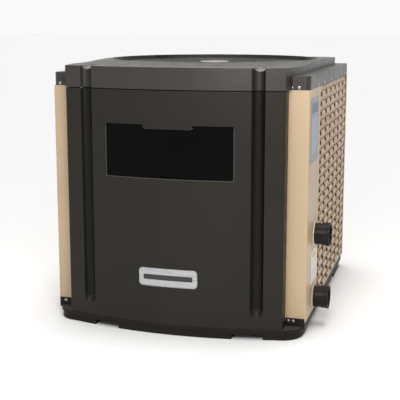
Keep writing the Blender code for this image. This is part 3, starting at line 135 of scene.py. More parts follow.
class Finish:
    """A Principled material, with short ways to add the nodes that vary it."""

    def __init__(self, name, roughness, metallic=0.0, specular=0.5):
        self.material = bpy.data.materials.new(name)
        self.material.use_nodes = True
        self.tree = self.material.node_tree
        self.shader = self.tree.nodes["Principled BSDF"]
        self.set("Roughness", roughness)
        self.set("Metallic", metallic)
        self.set("Specular IOR Level", specular)
        self.place = self.node("ShaderNodeTexCoord").outputs["Object"]

    def set(self, socket, value):
        self.shader.inputs[socket].default_value = value

    def node(self, kind, **settings):
        made = self.tree.nodes.new(kind)
        for key, value in settings.items():
            setattr(made, key, value)
        return made

    def link(self, source, target):
        self.tree.links.new(source, target)

    def feed(self, source, socket):
        self.link(source, self.shader.inputs[socket])

    def stretched(self, scale):
        """The object's coordinates, scaled along each axis."""
        made = self.node("ShaderNodeMapping")
        made.inputs["Scale"].default_value = scale
        self.link(self.place, made.inputs["Vector"])
        return made.outputs["Vector"]

    def noise(self, scale, detail=3.0, rough=0.5, along=None):
        made = self.node("ShaderNodeTexNoise")
        made.inputs["Scale"].default_value = scale
        made.inputs["Detail"].default_value = detail
        made.inputs["Roughness"].default_value = rough
        self.link(along or self.place, made.inputs["Vector"])
        return made.outputs["Fac"]

    def cells(self, scale, output="Color"):
        made = self.node("ShaderNodeTexVoronoi")
        made.inputs["Scale"].default_value = scale
        self.link(self.place, made.inputs["Vector"])
        return made.outputs[output]

    def spread(self, source, low, high, to_low=0.0, to_high=1.0):
        made = self.node("ShaderNodeMapRange")
        self.link(source, made.inputs["Value"])
        for socket, value in (
            ("From Min", low),
            ("From Max", high),
            ("To Min", to_low),
            ("To Max", to_high),
        ):
            made.inputs[socket].default_value = value
        return made.outputs["Result"]

    def times(self, first, second):
        made = self.node("ShaderNodeMath", operation="MULTIPLY")
        self.link(first, made.inputs[0])
        if isinstance(second, float):
            made.inputs[1].default_value = second
        else:
            self.link(second, made.inputs[1])
        return made.outputs["Value"]

    def mix(self, share, first, second):
        """Two colours, or a node's colour and one, mixed by share."""
        made = self.node("ShaderNodeMix", data_type="RGBA")
        self.link(share, made.inputs["Factor"])
        for index, value in ((6, first), (7, second)):
            if isinstance(value, tuple):
                made.inputs[index].default_value = (*value, 1.0)
            else:
                self.link(value, made.inputs[index])
        return made.outputs[2]

    def part_of_place(self, axis):
        made = self.node("ShaderNodeSeparateXYZ")
        self.link(self.place, made.inputs["Vector"])
        return made.outputs[axis]

    def facing_up(self):
        """1 where the surface faces up, 0 where it doesn't."""
        normal = self.node("ShaderNodeNewGeometry").outputs["Normal"]
        made = self.node("ShaderNodeSeparateXYZ")
        self.link(normal, made.inputs["Vector"])
        return self.spread(made.outputs["Z"], 0.55, 0.95)

    def soft_edges(self, radius):
        made = self.node("ShaderNodeBevel", samples=4)
        made.inputs["Radius"].default_value = radius
        return made.outputs["Normal"]

    def bump(self, height, depth, under=None, strength=1.0):
        made = self.node("ShaderNodeBump")
        made.inputs["Strength"].default_value = strength
        made.inputs["Distance"].default_value = depth
        self.link(height, made.inputs["Height"])
        if under is not None:
            self.link(under, made.inputs["Normal"])
        return made.outputs["Normal"]


def shade_of(colour, factor):
    return tuple(min(1.0, channel * factor) for channel in colour)


def moulded(
    name, colour, roughness, edge=1.5 * MM, dust=0.0, grain=0.12 * MM, specular=0.5,
    channel=0.0, scoop=0.0, rim=0.0,
):
    """Textured moulded plastic: fine grain, faint mottling, and dust where it faces up.

    channel is how far painted shade darkens the tone in the two upright grooves, scoop is how far a painted
    highlight lightens their shallow upper ends, and rim is how far a painted highlight lightens a band round the
    window.
    """
    made = Finish(name, roughness, specular=specular)
    mottle = made.noise(7.0, 4.0, 0.6)
    speck = made.noise(900.0, 2.0)
    tone = made.mix(made.spread(mottle, 0.3, 0.7), shade_of(colour, 0.90), shade_of(colour, 1.10))
    tone = made.mix(made.spread(speck, 0.35, 0.75, 0.0, 0.25), tone, shade_of(colour, 1.6))
    # Painted shade: the tone darkens inside the two upright grooves, standing in for the shade that falls there.
    if channel:
        tone = made.mix(made.times(channel_mask(made), channel), tone, shade_of(colour, 0.2))
    if dust:
        patches = made.spread(made.noise(55.0, 7.0, 0.6), 0.2, 0.8, 0.6, 1.0)
        settled = made.times(made.facing_up(), patches)
        tone = made.mix(made.times(settled, dust), tone, DUST)
    # Painted highlight: a light tone on the scoops' up-facing floors, standing in for the light that they reflect.
    if scoop:
        tone = made.mix(made.times(scoop_highlight_mask(made), scoop), tone, SCOOP_HIGHLIGHT)
    # Painted highlight: a lighter band round the window, standing in for light caught by the edge of its opening.
    if rim:
        tone = made.mix(made.times(window_rim_highlight(made), rim), tone, RIM_HIGHLIGHT)
    made.feed(tone, "Base Color")
    rough = made.spread(made.noise(30.0, 4.0), 0.3, 0.7, roughness - 0.05, roughness + 0.06)
    made.feed(rough, "Roughness")
    made.feed(made.bump(speck, grain, made.soft_edges(edge)), "Normal")
    return made.material


def channel_mask(made):
    """1 in the two upright grooves of the front, and 0 elsewhere."""
    low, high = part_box("front_panel")
    middle = (low.x + high.x) / 2
    offset = made.node("ShaderNodeMath", operation="SUBTRACT")
    made.link(made.part_of_place("X"), offset.inputs[0])
    offset.inputs[1].default_value = middle
    reach = made.node("ShaderNodeMath", operation="ABSOLUTE")
    made.link(offset.outputs["Value"], reach.inputs[0])
    inner = (high.x - low.x) / 2 - GROOVE_INSET - GROOVE_HALF_W
    outer = inner + 2 * GROOVE_HALF_W
    edge = 1.5 * MM
    across = made.times(
        made.spread(reach.outputs["Value"], inner, inner + edge),
        made.spread(reach.outputs["Value"], outer, outer - edge),
    )
    return made.times(across, made.spread(made.part_of_place("Z"), GROOVE_BOTTOM, GROOVE_BOTTOM + 4 * MM))


def scoop_highlight_mask(made):
    """1 on the surfaces that face up in the front ends of the cover's grooves, where the painted highlight goes,
    and 0 elsewhere.
    """
    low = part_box("top_cover")[0]
    foot = low.z + SCOOP_FOOT
    end = low.y + SCOOP_LENGTH
    raised = made.spread(made.part_of_place("Z"), foot, foot + SCOOP_FOOT_FADE)
    high_up = made.times(channel_mask(made), raised)
    front = made.spread(made.part_of_place("Y"), end, end - SCOOP_FADE)
    return made.times(made.times(high_up, front), made.facing_up())


def window_rim_highlight(made):
    """1 on a narrow band round the window's sides and bottom, where a painted highlight lightens the tone, and 0
    elsewhere.
    """
    low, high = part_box("control_flap")
    x = made.part_of_place("X")
    z = made.part_of_place("Z")
    fine = 0.5 * MM

    def within(grow):
        across = made.times(
            made.spread(x, low.x - grow - fine, low.x - grow),
            made.spread(x, high.x + grow + fine, high.x + grow),
        )
        upright = made.times(
            made.spread(z, low.z - grow - fine, low.z - grow),
            made.spread(z, high.z + grow + fine, high.z + grow),
        )
        return made.times(across, upright)

    ring = made.node("ShaderNodeMath", operation="SUBTRACT", use_clamp=True)
    made.link(within(RIM_OUTER), ring.inputs[0])
    made.link(within(RIM_INNER), ring.inputs[1])
    below = made.spread(z, high.z - RIM_STOP, high.z - RIM_STOP - 2 * MM)
    return made.times(ring.outputs["Value"], below)


def powder_coat(name, colour, roughness=0.42):
    """Satin powder coat on sheet steel: orange peel, a few specks, and splashed dirt low down."""
    made = Finish(name, roughness)
    peel = made.noise(420.0, 2.0, 0.4)
    wave = made.noise(3.0, 3.0)
    tone = made.mix(made.spread(wave, 0.35, 0.65), shade_of(colour, 0.95), shade_of(colour, 1.04))
    speck = made.spread(made.noise(260.0, 1.0), 0.70, 0.76, 0.0, 0.35)
    tone = made.mix(speck, tone, shade_of(colour, 0.55))
    low = made.spread(made.part_of_place("Z"), 0.16, 0.04)
    splashed = made.times(low, made.spread(made.noise(40.0, 6.0, 0.7), 0.42, 0.75))
    tone = made.mix(made.times(splashed, 0.45), tone, (0.28, 0.22, 0.15))
    made.feed(tone, "Base Color")
    made.feed(made.spread(made.noise(14.0, 4.0), 0.3, 0.7, roughness - 0.05, roughness + 0.08), "Roughness")
    made.feed(made.bump(peel, 0.10 * MM, made.soft_edges(1.2 * MM)), "Normal")
    return made.material


def smoked(name):
    """Polished smoked acrylic, with faint wipe marks in its gloss."""
    made = Finish(name, 0.07, specular=0.05)
    wipe = made.noise(9.0, 5.0, 0.6, made.stretched((1.0, 1.0, 3.0)))
    tone = made.mix(made.spread(wipe, 0.3, 0.7), (0.0012, 0.0013, 0.0014), (0.0024, 0.0026, 0.0028))
    made.feed(tone, "Base Color")
    made.feed(made.spread(wipe, 0.35, 0.75, 0.05, 0.13), "Roughness")
    made.feed(made.soft_edges(0.8 * MM), "Normal")
    return made.material


def rubber(name, colour):
    """Matt moulded rubber with a faint bloom."""
    made = Finish(name, 0.75, specular=0.3)
    bloom = made.noise(60.0, 5.0, 0.7)
    tone = made.mix(made.spread(bloom, 0.3, 0.7), shade_of(colour, 0.85), shade_of(colour, 1.12))
    made.feed(tone, "Base Color")
    made.feed(made.bump(made.noise(1100.0, 2.0), 0.10 * MM, made.soft_edges(0.8 * MM)), "Normal")
    return made.material


def galvanised(name):
    """Zinc-coated sheet, with its spangle."""
    made = Finish(name, 0.42, metallic=1.0)
    grains = made.node("ShaderNodeSeparateColor")
    made.link(made.cells(90.0), grains.inputs["Color"])
    grain = grains.outputs["Red"]
    made.feed(made.mix(grain, (0.38, 0.40, 0.42), (0.58, 0.60, 0.62)), "Base Color")
    made.feed(made.spread(grain, 0.0, 1.0, 0.34, 0.52), "Roughness")
    made.feed(made.bump(made.noise(300.0), 0.03 * MM, made.soft_edges(0.6 * MM)), "Normal")
    return made.material


def bright_metal(name, colour, roughness, along=(1.0, 1.0, 14.0), tarnish=None):
    """Drawn or turned metal, with fine lines along one way and, if given, a tarnish."""
    made = Finish(name, roughness, metallic=1.0)
    lines = made.noise(120.0, 4.0, 0.6, made.stretched(along))
    tone = made.mix(made.spread(lines, 0.3, 0.7), shade_of(colour, 0.88), shade_of(colour, 1.06))
    if tarnish:
        tone = made.mix(made.spread(made.noise(26.0, 6.0, 0.7), 0.5, 0.8, 0.0, 0.8), tone, tarnish)
    made.feed(tone, "Base Color")
    made.feed(made.spread(lines, 0.3, 0.7, roughness - 0.06, roughness + 0.08), "Roughness")
    made.feed(made.bump(lines, 0.03 * MM, made.soft_edges(0.5 * MM)), "Normal")
    return made.material


def fin_pack(name):
    """Close upright fins, seen as fine bright lines with dark gaps; the dark gaps are painted shade between the
    fins.
    """
    made = Finish(name, 0.45, metallic=0.9)
    angle = made.node("ShaderNodeTexWave", wave_type="BANDS", bands_direction="DIAGONAL")
    angle.inputs["Scale"].default_value = 150.0
    made.link(made.stretched((1.0, 1.0, 0.0)), angle.inputs["Vector"])
    lines = angle.outputs["Fac"]
    # Painted shade: the near-black bands stand for the shade in the gaps between fins.
    made.feed(made.mix(made.spread(lines, 0.2, 0.7), (0.02, 0.02, 0.02), (0.42, 0.43, 0.44)), "Base Color")
    made.feed(made.spread(made.noise(40.0), 0.3, 0.7, 0.38, 0.58), "Roughness")
    made.feed(made.bump(lines, 0.8 * MM), "Normal")
    return made.material


def printed(name, ground, bar, band, box, upright):
    """A blank printed label: a ground, a plain band near one end, and rows of plain bars."""
    low, high = box
    made = Finish(name, 0.42)
    along = made.part_of_place("Z")
    across = made.part_of_place("Y")
    height = high.z - low.z
    width = high.y - low.y
    rows = made.node("ShaderNodeTexWave", wave_type="BANDS", bands_direction="Y" if upright else "Z")
    rows.inputs["Scale"].default_value = 0.5 / (0.12 * (width if upright else height))
    made.link(made.place, rows.inputs["Vector"])
    inside_z = made.times(
        made.spread(along, low.z + 0.14 * height, low.z + 0.15 * height),
        made.spread(along, low.z + 0.70 * height, low.z + 0.69 * height),
    )
    inside_y = made.times(
        made.spread(across, low.y + 0.13 * width, low.y + 0.14 * width),
        made.spread(across, low.y + 0.87 * width, low.y + 0.86 * width),
    )
    bars = made.times(made.spread(rows.outputs["Fac"], 0.55, 0.60), made.times(inside_z, inside_y))
    wear = made.spread(made.noise(50.0, 4.0), 0.3, 0.7)
    tone = made.mix(wear, shade_of(ground, 0.94), shade_of(ground, 1.05))
    tone = made.mix(made.times(bars, 0.75), tone, bar)
    top = made.times(made.spread(along, low.z + 0.76 * height, low.z + 0.77 * height), inside_y)
    top = made.times(top, made.spread(along, low.z + 0.93 * height, low.z + 0.92 * height))
    tone = made.mix(top, tone, band)
    made.feed(tone, "Base Color")
    made.feed(made.spread(made.noise(25.0, 4.0), 0.3, 0.7, 0.34, 0.50), "Roughness")
    made.feed(made.bump(made.noise(500.0), 0.02 * MM), "Normal")
    return made.material


def plate_enamel(name, box):
    """A blank nameplate: brushed grey metal with one plain dark band."""
    low, high = box
    made = Finish(name, 0.30, metallic=0.35)
    lines = made.noise(300.0, 3.0, 0.6, made.stretched((0.03, 1.0, 1.0)))
    tone = made.mix(made.spread(lines, 0.3, 0.7), (0.36, 0.37, 0.38), (0.48, 0.49, 0.50))
    middle = (low.z + high.z) / 2
    up = made.part_of_place("Z")
    half = 0.0085
    band = made.times(
        made.spread(up, middle - half, middle - half + 1.0 * MM),
        made.spread(up, middle + half, middle + half - 1.0 * MM),
    )
    side = made.part_of_place("X")
    centre = (low.x + high.x) / 2
    reach = (high.x - low.x) / 2 - 0.014
    band = made.times(band, made.spread(side, centre - reach, centre - reach + 1.0 * MM))
    band = made.times(band, made.spread(side, centre + reach, centre + reach - 1.0 * MM))
    tone = made.mix(band, tone, (0.030, 0.032, 0.036))
    made.feed(tone, "Base Color")
    made.feed(made.spread(lines, 0.3, 0.7, 0.24, 0.38), "Roughness")
    made.feed(made.bump(lines, 0.03 * MM, made.soft_edges(0.8 * MM)), "Normal")
    return made.material


def solder_mask(name):
    """A circuit board's green mask over fine tracks."""
    made = Finish(name, 0.35)
    tracks = made.node("ShaderNodeTexBrick")
    tracks.inputs["Scale"].default_value = 90.0
    tracks.inputs["Mortar Size"].default_value = 0.03
    made.link(made.stretched((1.0, 0.0, 1.6)), tracks.inputs["Vector"])
    tone = made.mix(tracks.outputs["Fac"], (0.012, 0.085, 0.035), (0.03, 0.16, 0.07))
    stain = made.spread(made.noise(20.0), 0.3, 0.7, 0.0, 0.3)
    made.feed(made.mix(stain, tone, (0.008, 0.05, 0.02)), "Base Color")
    made.feed(made.bump(tracks.outputs["Fac"], 0.05 * MM), "Normal")
    return made.material


# ---- Shapes ----


def mesh_piece(name, form, finish, body="cabinet"):
    """A piece from a bmesh, riding on a body and taking its finish from one of the record's slots."""
    mesh = bpy.data.meshes.new(name)
    form.to_mesh(mesh)
    form.free()
    made = bpy.data.objects.new(name, mesh)
    bpy.context.scene.collection.objects.link(made)
    mesh.shade_smooth()
    mesh.set_sharp_from_angle(angle=math.radians(40))
    mesh.materials.append(finish)
    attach(made, body)
    return made


def grid_faces(form, rows):
    """Quads between rows of vertices that are all the same length."""
    for before, after in zip(rows, rows[1:]):
        for i in range(len(before) - 1):
            form.faces.new((before[i], before[i + 1], after[i + 1], after[i]))


def ring_wire(form, centre, radius, wire, around=96, section=8):
    """A horizontal ring of round wire."""
    rows = []
    for i in range(around):
        turn = 2 * math.pi * i / around
        out = Vector((math.cos(turn), math.sin(turn), 0))
        row = []
        for j in range(section):
            roll = 2 * math.pi * j / section
            lift = Vector((0, 0, wire * math.sin(roll)))
            row.append(form.verts.new(centre + out * (radius + wire * math.cos(roll)) + lift))
        row.append(row[0])
        rows.append(row)
    rows.append(rows[0])
    grid_faces(form, rows)


def straight_wire(form, start, end, wire, section=10):
    """A straight round wire with rounded ends."""
    run = end - start
    turn = run.to_track_quat("Z", "Y").to_matrix().to_4x4()
    stations = [(0.0, 0.0), (0.0, 0.7), (wire * 0.5, 1.0)]
    stations += [(run.length - wire * 0.5, 1.0), (run.length, 0.7), (run.length, 0.0)]
    rows = []
    for height, share in stations:
        row = []
        for j in range(section):
            roll = 2 * math.pi * j / section
            local = Vector((wire * share * math.cos(roll), wire * share * math.sin(roll), height))
            row.append(form.verts.new(start + turn @ local))
        row.append(row[0])
        rows.append(row)
    grid_faces(form, rows)
    bmesh.ops.remove_doubles(form, verts=[v for row in (rows[0], rows[-1]) for v in row[:-1]], dist=1e-6)


def turned_form(form, profile, centre, toward, segments=32):
    """A turned surface: (radius, height) points, with height along toward."""
    turn = Vector(toward).to_track_quat("Z", "Y").to_matrix()
    rows = []
    for radius, height in profile:
        row = []
        for i in range(segments):
            angle = 2 * math.pi * i / segments
            local = Vector((radius * math.cos(angle), radius * math.sin(angle), height))
            row.append(form.verts.new(Vector(centre) + turn @ local))
        row.append(row[0])
        rows.append(row)
    grid_faces(form, rows)
    bmesh.ops.remove_doubles(form, verts=form.verts[:], dist=1e-6)
    bmesh.ops.recalc_face_normals(form, faces=form.faces[:])


# ---- Louvres ----


def louvre_piece(node, along, out):
    """A pressed sheet: openings in rows, each under a hood that is open at its start.

    along is the way that a hood runs from its open end, and out is the way that it stands proud.
    """
    low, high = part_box(node)
    along = Vector(along)
    out = Vector(out)
    up = Vector((0, 0, 1))
    face = max(low.dot(out), high.dot(out))
    start = min(low.dot(along), high.dot(along))
    length = abs((high - low).dot(along))
    height = high.z - low.z
    column = (length - 2 * LOUVRE_MARGIN) / LOUVRE_COLUMNS
    row = (height - 2 * LOUVRE_MARGIN) / LOUVRE_ROWS
    hood = column * HOOD_SHARE

    def at(u, v, w):
        return along * (start + u) + up * (low.z + v) + out * (face + w)

    form = bmesh.new()
    holes_u = [LOUVRE_MARGIN + (i + 0.5) * column - hood / 2 for i in range(LOUVRE_COLUMNS)]
    holes_v = [LOUVRE_MARGIN + (j + 0.5) * row for j in range(LOUVRE_ROWS)]
    inset = 0.6 * MM
    hole_end = hood - HOOD_TAIL * 0.6
    lines_u = [0.0] + [u for left in holes_u for u in (left + inset, left + hole_end)] + [length]
    half = HOOD_HALF_H - inset
    lines_v = [0.0] + [v for middle in holes_v for v in (middle - half, middle + half)] + [height]
    sheet = [[form.verts.new(at(u, v, 0)) for u in lines_u] for v in lines_v]
    for j in range(len(lines_v) - 1):
        for i in range(len(lines_u) - 1):
            if i % 2 == 1 and j % 2 == 1:
                continue
            form.faces.new((sheet[j][i], sheet[j][i + 1], sheet[j + 1][i + 1], sheet[j + 1][i]))
    arcs = 12
    stations = [0.0, 0.25, 0.5, 0.75, 1.0]
    tail = [math.sin(math.pi / 2 * k / 5) for k in range(1, 6)]
    for left in holes_u:
        for middle in holes_v:
            rows = []
            places = [(left + (hood - HOOD_TAIL) * s, 1.0) for s in stations]
            bend_from = left + hood - HOOD_TAIL
            places += [(bend_from + HOOD_TAIL * t, math.sqrt(max(0.0, 1 - t * t))) for t in tail]
            for u, share in places:
                line = []
                for k in range(arcs + 1):
                    bend = math.pi * (k / arcs - 0.5)
                    proud = HOOD_PROUD * share * max(0.0, math.cos(bend)) ** 0.8
                    side = HOOD_HALF_H * (0.55 + 0.45 * share) * math.sin(bend)
                    line.append(form.verts.new(at(u, middle + side, proud)))
                rows.append(line)
            grid_faces(form, rows)
    bmesh.ops.recalc_face_normals(form, faces=form.faces[:])
    for island_face in form.faces:
        if island_face.normal.dot(out) < -0.2:
            island_face.normal_flip()
    made = mesh_piece(node.replace("panel", "pressing"), form, FINISHES["beige_paint"])
    made.data.set_sharp_from_angle(angle=math.radians(60))
    thick = made.modifiers.new("sheet", "SOLIDIFY")
    thick.thickness = SHEET_T
    thick.offset = -1.0
    thick.use_even_offset = False
    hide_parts(node)
    return made


def build_louvres():
    louvre_piece("louvre_panel_right", (0, 1, 0), (1, 0, 0))
    louvre_piece("louvre_panel_left", (0, 1, 0), (-1, 0, 0))
    louvre_piece("louvre_panel_back", (1, 0, 0), (0, 1, 0))


# ---- Fan guard ----


def build_guard():
    """Round wire rings welded on top of radial wires, with a heavier rim."""
    low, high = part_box("fan_guard")
    hub_low, hub_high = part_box("guard_hub_plate")
    centre = Vector((FAN_AXIS.x, FAN_AXIS.y, 0))
    rim_r = (high.x - low.x) / 2 - SPOKE_WIRE_R
    hub_r = (hub_high.x - hub_low.x) / 2 - 4 * MM
    spoke_z = low.z + SPOKE_WIRE_R + 0.2 * MM
    ring_z = spoke_z + SPOKE_WIRE_R + RING_WIRE_R * 0.7
    form = bmesh.new()
    count = int((rim_r - hub_r) / RING_PITCH)
    for i in range(count + 1):
        radius = rim_r - i * RING_PITCH
        wire = SPOKE_WIRE_R if i == 0 else RING_WIRE_R
        height = spoke_z if i == 0 else ring_z
        around = max(32, 8 * round(radius * 36))
        ring_wire(form, centre + Vector((0, 0, height)), radius, wire, around)
    for i in range(SPOKES):
        turn = 2 * math.pi * (i + 0.5) / SPOKES
        out = Vector((math.cos(turn), math.sin(turn), 0))
        start = centre + out * 0.020 + Vector((0, 0, spoke_z))
        straight_wire(form, start, centre + out * rim_r + Vector((0, 0, spoke_z)), SPOKE_WIRE_R)
    bmesh.ops.recalc_face_normals(form, faces=form.faces[:])
    made = mesh_piece("fan_guard_wires", form, FINISHES["guard_paint"])
    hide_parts("fan_guard")


# ---- Fastenings and small trim ----


def screw(form, centre, toward, head_r=3.1 * MM):
    """A pan-head screw on a washer; its cross recess is two flat dark quads on the head, painted shade for the
    recess.
    """
    toward = Vector(toward)
    centre = Vector(centre)
    part = bmesh.new()
    washer = [(0.0, 0.9), (1.35, 0.9), (1.50, 0.7), (1.50, 0.0)]
    scaled = [(r * head_r, h * MM) for r, h in washer]
    turned_form(part, scaled, centre, toward, 24)
    head = [(0.0, 3.1), (0.45, 3.0), (0.75, 2.6), (0.93, 2.0), (1.0, 1.3), (1.0, 0.7)]
    top = bmesh.new()
    turned_form(top, [(r * head_r, h * MM) for r, h in head], centre, toward, 24)
    turn = toward.to_track_quat("Z", "Y").to_matrix()
    # Painted shade: the cross is two dark quads laid on the head, standing in for the recess's shade.
    for ways in ((1.0, 0.22), (0.22, 1.0)):
        size = Vector((ways[0] * head_r * 1.1, ways[1] * head_r * 1.1, 0))
        corners = [(-1, -1), (1, -1), (1, 1), (-1, 1)]
        lift = 3.12 * MM
        points = [centre + turn @ Vector((a * size.x / 2, b * size.y / 2, lift)) for a, b in corners]
        slot_face = top.faces.new([top.verts.new(p) for p in points])
        slot_face.material_index = 1
    for source in (part, top):
        mesh = bpy.data.meshes.new("screw_part")
        source.to_mesh(mesh)
        source.free()
        form.from_mesh(mesh)
        bpy.data.meshes.remove(mesh)


def build_screws():
    """The screws that hold the cover to the posts, and the posts to the base."""
    steel = FINISHES["stainless_steel"]
    post_low, post_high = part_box("post_front_right")
    front_y = post_low.y
    right_x = post_high.x
    left_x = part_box("post_front_left")[0].x
    back_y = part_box("post_rear_left")[1].y
    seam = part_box("top_cover")[0].z
    up = COVER_SCREW_UP
    form = bmesh.new()
    for x in (left_x + 0.0214, left_x + 0.0545, right_x - 0.0545, right_x - 0.0327):
        screw(form, (x, front_y, seam + up), (0, -1, 0))
    for y in (front_y + 0.148, front_y + 0.271, front_y + 0.424, front_y + 0.575, back_y - 0.060):
        screw(form, (right_x, y, seam + up), (1, 0, 0))
        screw(form, (left_x, y, seam + up), (-1, 0, 0))
    for x in (left_x + 0.050, left_x + 0.225, left_x + 0.400, right_x - 0.225, right_x - 0.050):
        screw(form, (x, back_y, seam + up), (0, 1, 0))
    made = mesh_piece("cover_screws", form, steel)
    made.data.materials.append(FINISHES["recess_painted_shade"])
    tab_y = front_y - BASE_TAB_T
    form = bmesh.new()
    for x in (left_x + 0.0235, left_x + 0.0520, right_x - 0.0520, right_x - 0.0370):
        screw(form, (x, tab_y, BASE_SCREW_Z), (0, -1, 0))
    made = mesh_piece("base_screws", form, steel)
    made.data.materials.append(FINISHES["recess_painted_shade"])


def build_badge_rim():
    """A thin polished bead round the blank nameplate, following the bow of the panel."""
    low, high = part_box("nameplate_blank")
    half_w = (high.x - low.x) / 2
    half_h = (high.z - low.z) / 2
    corner = BEAD_CORNER
    centre = Vector(((low.x + high.x) / 2, 0, (low.z + high.z) / 2))
    sag = (high.y - low.y) - 2.2 * MM
    outline = []
    for cx, cz, start in ((1, 1, 0), (-1, 1, 90), (-1, -1, 180), (1, -1, 270)):
        for step in range(9):
            turn = math.radians(start + 90 * step / 8)
            x = cx * (half_w - corner) + corner * math.cos(turn)
            z = cz * (half_h - corner) + corner * math.sin(turn)
            outline.append((x * 0.985, z * 0.955))
    steps = []
    for (x0, z0), (x1, z1) in zip(outline, outline[1:] + outline[:1]):
        pieces = max(1, round(math.hypot(x1 - x0, z1 - z0) / BEAD_STEP))
        for k in range(pieces):
            steps.append((x0 + (x1 - x0) * k / pieces, z0 + (z1 - z0) * k / pieces))
    points = [centre + Vector((x, low.y + sag * (x / half_w) ** 2, z)) for x, z in steps]
    form = bmesh.new()
    rows = []
    bead = BEAD_R
    for i, point in enumerate(points):
        run = (points[(i + 1) % len(points)] - points[i - 1]).normalized()
        side = run.cross(Vector((0, -1, 0))).normalized()
        row = []
        for j in range(8):
            roll = 2 * math.pi * j / 8
            proud = Vector((0, -bead * math.sin(roll), 0))
            row.append(form.verts.new(point + side * bead * math.cos(roll) + proud))
        row.append(row[0])
        rows.append(row)
    rows.append(rows[0])
    grid_faces(form, rows)
    bmesh.ops.recalc_face_normals(form, faces=form.faces[:])
    mesh_piece("nameplate_bead", form, FINISHES["stainless_steel"])


# ---- Finishes of the CAD nodes ----


def dress(node, finish, crease=32):
    """Gives a CAD node its material, with its flat faces flat and its curves smooth."""
    part = frame["nodes"][node]
    mesh = part.data
    stored = mesh.attributes.get("custom_normal")
    if stored:
        mesh.attributes.remove(stored)
    mesh.polygons.foreach_set("use_smooth", [True] * len(mesh.polygons))
    weld = part.modifiers.new("weld", "WELD")
    weld.merge_threshold = 0.00002
    creases = part.modifiers.new("creases", "EDGE_SPLIT")
    creases.split_angle = math.radians(crease)
    creases.use_edge_sharp = False
    flats = part.modifiers.new("flats", "WEIGHTED_NORMAL")
    flats.weight = 100
    flats.keep_sharp = True
    mesh.materials.clear()
    mesh.materials.append(finish)


FINISHES = {
    # channel paints shade into the grooves, scoop paints a highlight on the cover's scoops, and rim paints a
    # highlight round the window.
    "charcoal_plastic": moulded(
        "panel_charcoal", CHARCOAL, 0.40, edge=2.5 * MM, dust=0.2, specular=0.18, channel=0.95, rim=0.4
    ),
    "cover_plastic": moulded(
        "cover_charcoal", CHARCOAL_TOP, 0.36, edge=2.5 * MM, dust=0.6, specular=0.42, channel=0.8, scoop=0.8
    ),
    "base_plastic": moulded("base_black", BASE_BLACK, 0.50, edge=2.0 * MM, dust=0.4, specular=0.12),
    "beige_paint": powder_coat("beige_powder_coat", BEIGE),
    "guard_paint": powder_coat("guard_coat", GUARD_BLACK, 0.24),
    "hub_plate_plastic": moulded("hub_plate_grey", (0.44, 0.425, 0.39), 0.35, grain=0.05 * MM),
    "black_plastic": moulded("fitting_black", FITTING_BLACK, 0.36, edge=1.2 * MM, dust=0.1, specular=0.22),
    "smoked_plastic": smoked("smoked_acrylic"),
    "cream_rubber": rubber("grommet_cream", (0.62, 0.55, 0.43)),
    "black_rubber": rubber("isolator_black", (0.018, 0.018, 0.018)),
    "galvanised_steel": galvanised("galvanised_sheet"),
    "stainless_steel": bright_metal("stainless_bright", (0.52, 0.51, 0.49), 0.30),
    "copper_pipe": bright_metal("copper_drawn", (0.78, 0.40, 0.24), 0.28, tarnish=(0.20, 0.09, 0.05)),
    "aluminium_fins": fin_pack("coil_fins"),
    "compressor_enamel": moulded("compressor_black", (0.012, 0.012, 0.013), 0.32, grain=0.06 * MM),
    "button_plastic": moulded("button_grey", (0.30, 0.31, 0.32), 0.45, edge=0.6 * MM, grain=0.05 * MM),
    "circuit_board": solder_mask("board_green"),
    "grey_plastic": moulded("fitting_grey", (0.26, 0.26, 0.25), 0.50, grain=0.08 * MM),
    "badge_enamel": plate_enamel("nameplate_blank_face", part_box("nameplate_blank")),
    "label_blue_grey": printed(
        "label_blue_grey",
        ground=(0.20, 0.25, 0.28),
        bar=(0.42, 0.46, 0.48),
        band=(0.07, 0.11, 0.15),
        box=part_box("label_upper"),
        upright=True,
    ),
    "label_white": printed(
        "label_white",
        ground=(0.74, 0.72, 0.68),
        bar=(0.42, 0.41, 0.40),
        band=(0.62, 0.40, 0.12),
        box=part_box("label_lower"),
        upright=False,
    ),
    # Painted shade for the screws' cross recesses
    "recess_painted_shade": moulded("recess_painted_shade", (0.006, 0.006, 0.006), 0.6),
}


def dress_nodes():
    for row in frame["record"]["subparts"]:
        dress(row["node"], FINISHES[row["material_slot"]])


# ---- Stage ----


def aim(lamp, place, target):
    """Places a lamp, turns it to a target and hides it from the camera."""
    lamp.location = place
    lamp.rotation_euler = (Vector(target) - Vector(place)).to_track_quat("-Z", "Y").to_euler()
    lamp.visible_camera = False
    bpy.context.scene.collection.objects.link(lamp)


def area_light(name, place, target, size, power, colour=(1, 1, 1)):
    """A square softbox with a soft shine."""
    data = bpy.data.lights.new(name, "AREA")
    data.shape = "RECTANGLE"
    data.size, data.size_y = size
    data.energy = power
    data.color = colour
    data.specular_factor = KEY_SHINE
    aim(bpy.data.objects.new(name, data), place, target)


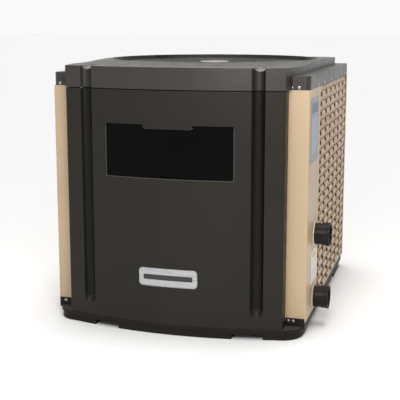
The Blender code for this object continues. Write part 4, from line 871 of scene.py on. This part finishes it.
def build_world():
    """A pale backdrop round the horizon that gets dimmer towards the ceiling."""
    world = bpy.data.worlds.new("studio")
    bpy.context.scene.world = world
    world.use_nodes = True
    tree = world.node_tree
    sky = tree.nodes["Background"]
    sky.inputs["Color"].default_value = (1.0, 1.0, 1.0, 1.0)
    place = tree.nodes.new("ShaderNodeTexCoord")
    parts = tree.nodes.new("ShaderNodeSeparateXYZ")
    tree.links.new(place.outputs["Generated"], parts.inputs["Vector"])
    fade = tree.nodes.new("ShaderNodeMapRange")
    fade.interpolation_type = "SMOOTHSTEP"
    tree.links.new(parts.outputs["Z"], fade.inputs["Value"])
    fade.inputs["From Min"].default_value = 0.02
    fade.inputs["From Max"].default_value = 0.50
    fade.inputs["To Min"].default_value = BACKDROP
    fade.inputs["To Max"].default_value = CEILING
    tree.links.new(fade.outputs["Result"], sky.inputs["Strength"])


def build_stage():
    """A plain pale floor under soft light from above, and a softbox near the front right."""
    form = bmesh.new()
    bmesh.ops.create_grid(form, x_segments=2, y_segments=2, size=FLOOR_REACH)
    mesh = bpy.data.meshes.new("floor")
    form.to_mesh(mesh)
    form.free()
    floor = bpy.data.objects.new("floor", mesh)
    bpy.context.scene.collection.objects.link(floor)
    pale = Finish("floor_pale", 0.9, specular=0.0)
    pale.feed(pale.mix(pale.noise(0.6, 2.0), (0.95, 0.95, 0.95), (0.96, 0.96, 0.96)), "Base Color")
    mesh.materials.append(pale.material)
    build_world()
    above = bpy.data.lights.new("overhead", "SUN")
    above.energy = OVERHEAD
    above.angle = OVERHEAD_SPREAD
    aim(bpy.data.objects.new("overhead", above), (0.0, 0.4, 4.0), (0, 0, 0))
    area_light("key_right", KEY_AT, KEY_TARGET, KEY_SIZE, KEY_POWER, (1.0, 0.98, 0.95))
    bpy.context.scene.view_settings.view_transform = "Standard"


def build_camera():
    data = bpy.data.cameras.new("camera")
    data.lens = CAMERA_LENS
    data.sensor_width = 36.0
    data.shift_y = CAMERA_SHIFT_Y
    camera = bpy.data.objects.new("camera", data)
    camera.location = CAMERA_AT
    camera.rotation_euler = (math.pi / 2 - CAMERA_DOWN, 0.0, CAMERA_AZIMUTH)
    bpy.context.scene.collection.objects.link(camera)
    bpy.context.scene.camera = camera


def write_sizes():
    bpy.context.view_layer.update()


dress_nodes()
build_louvres()
build_guard()
build_screws()
build_badge_rim()
build_stage()
build_camera()
write_sizes()
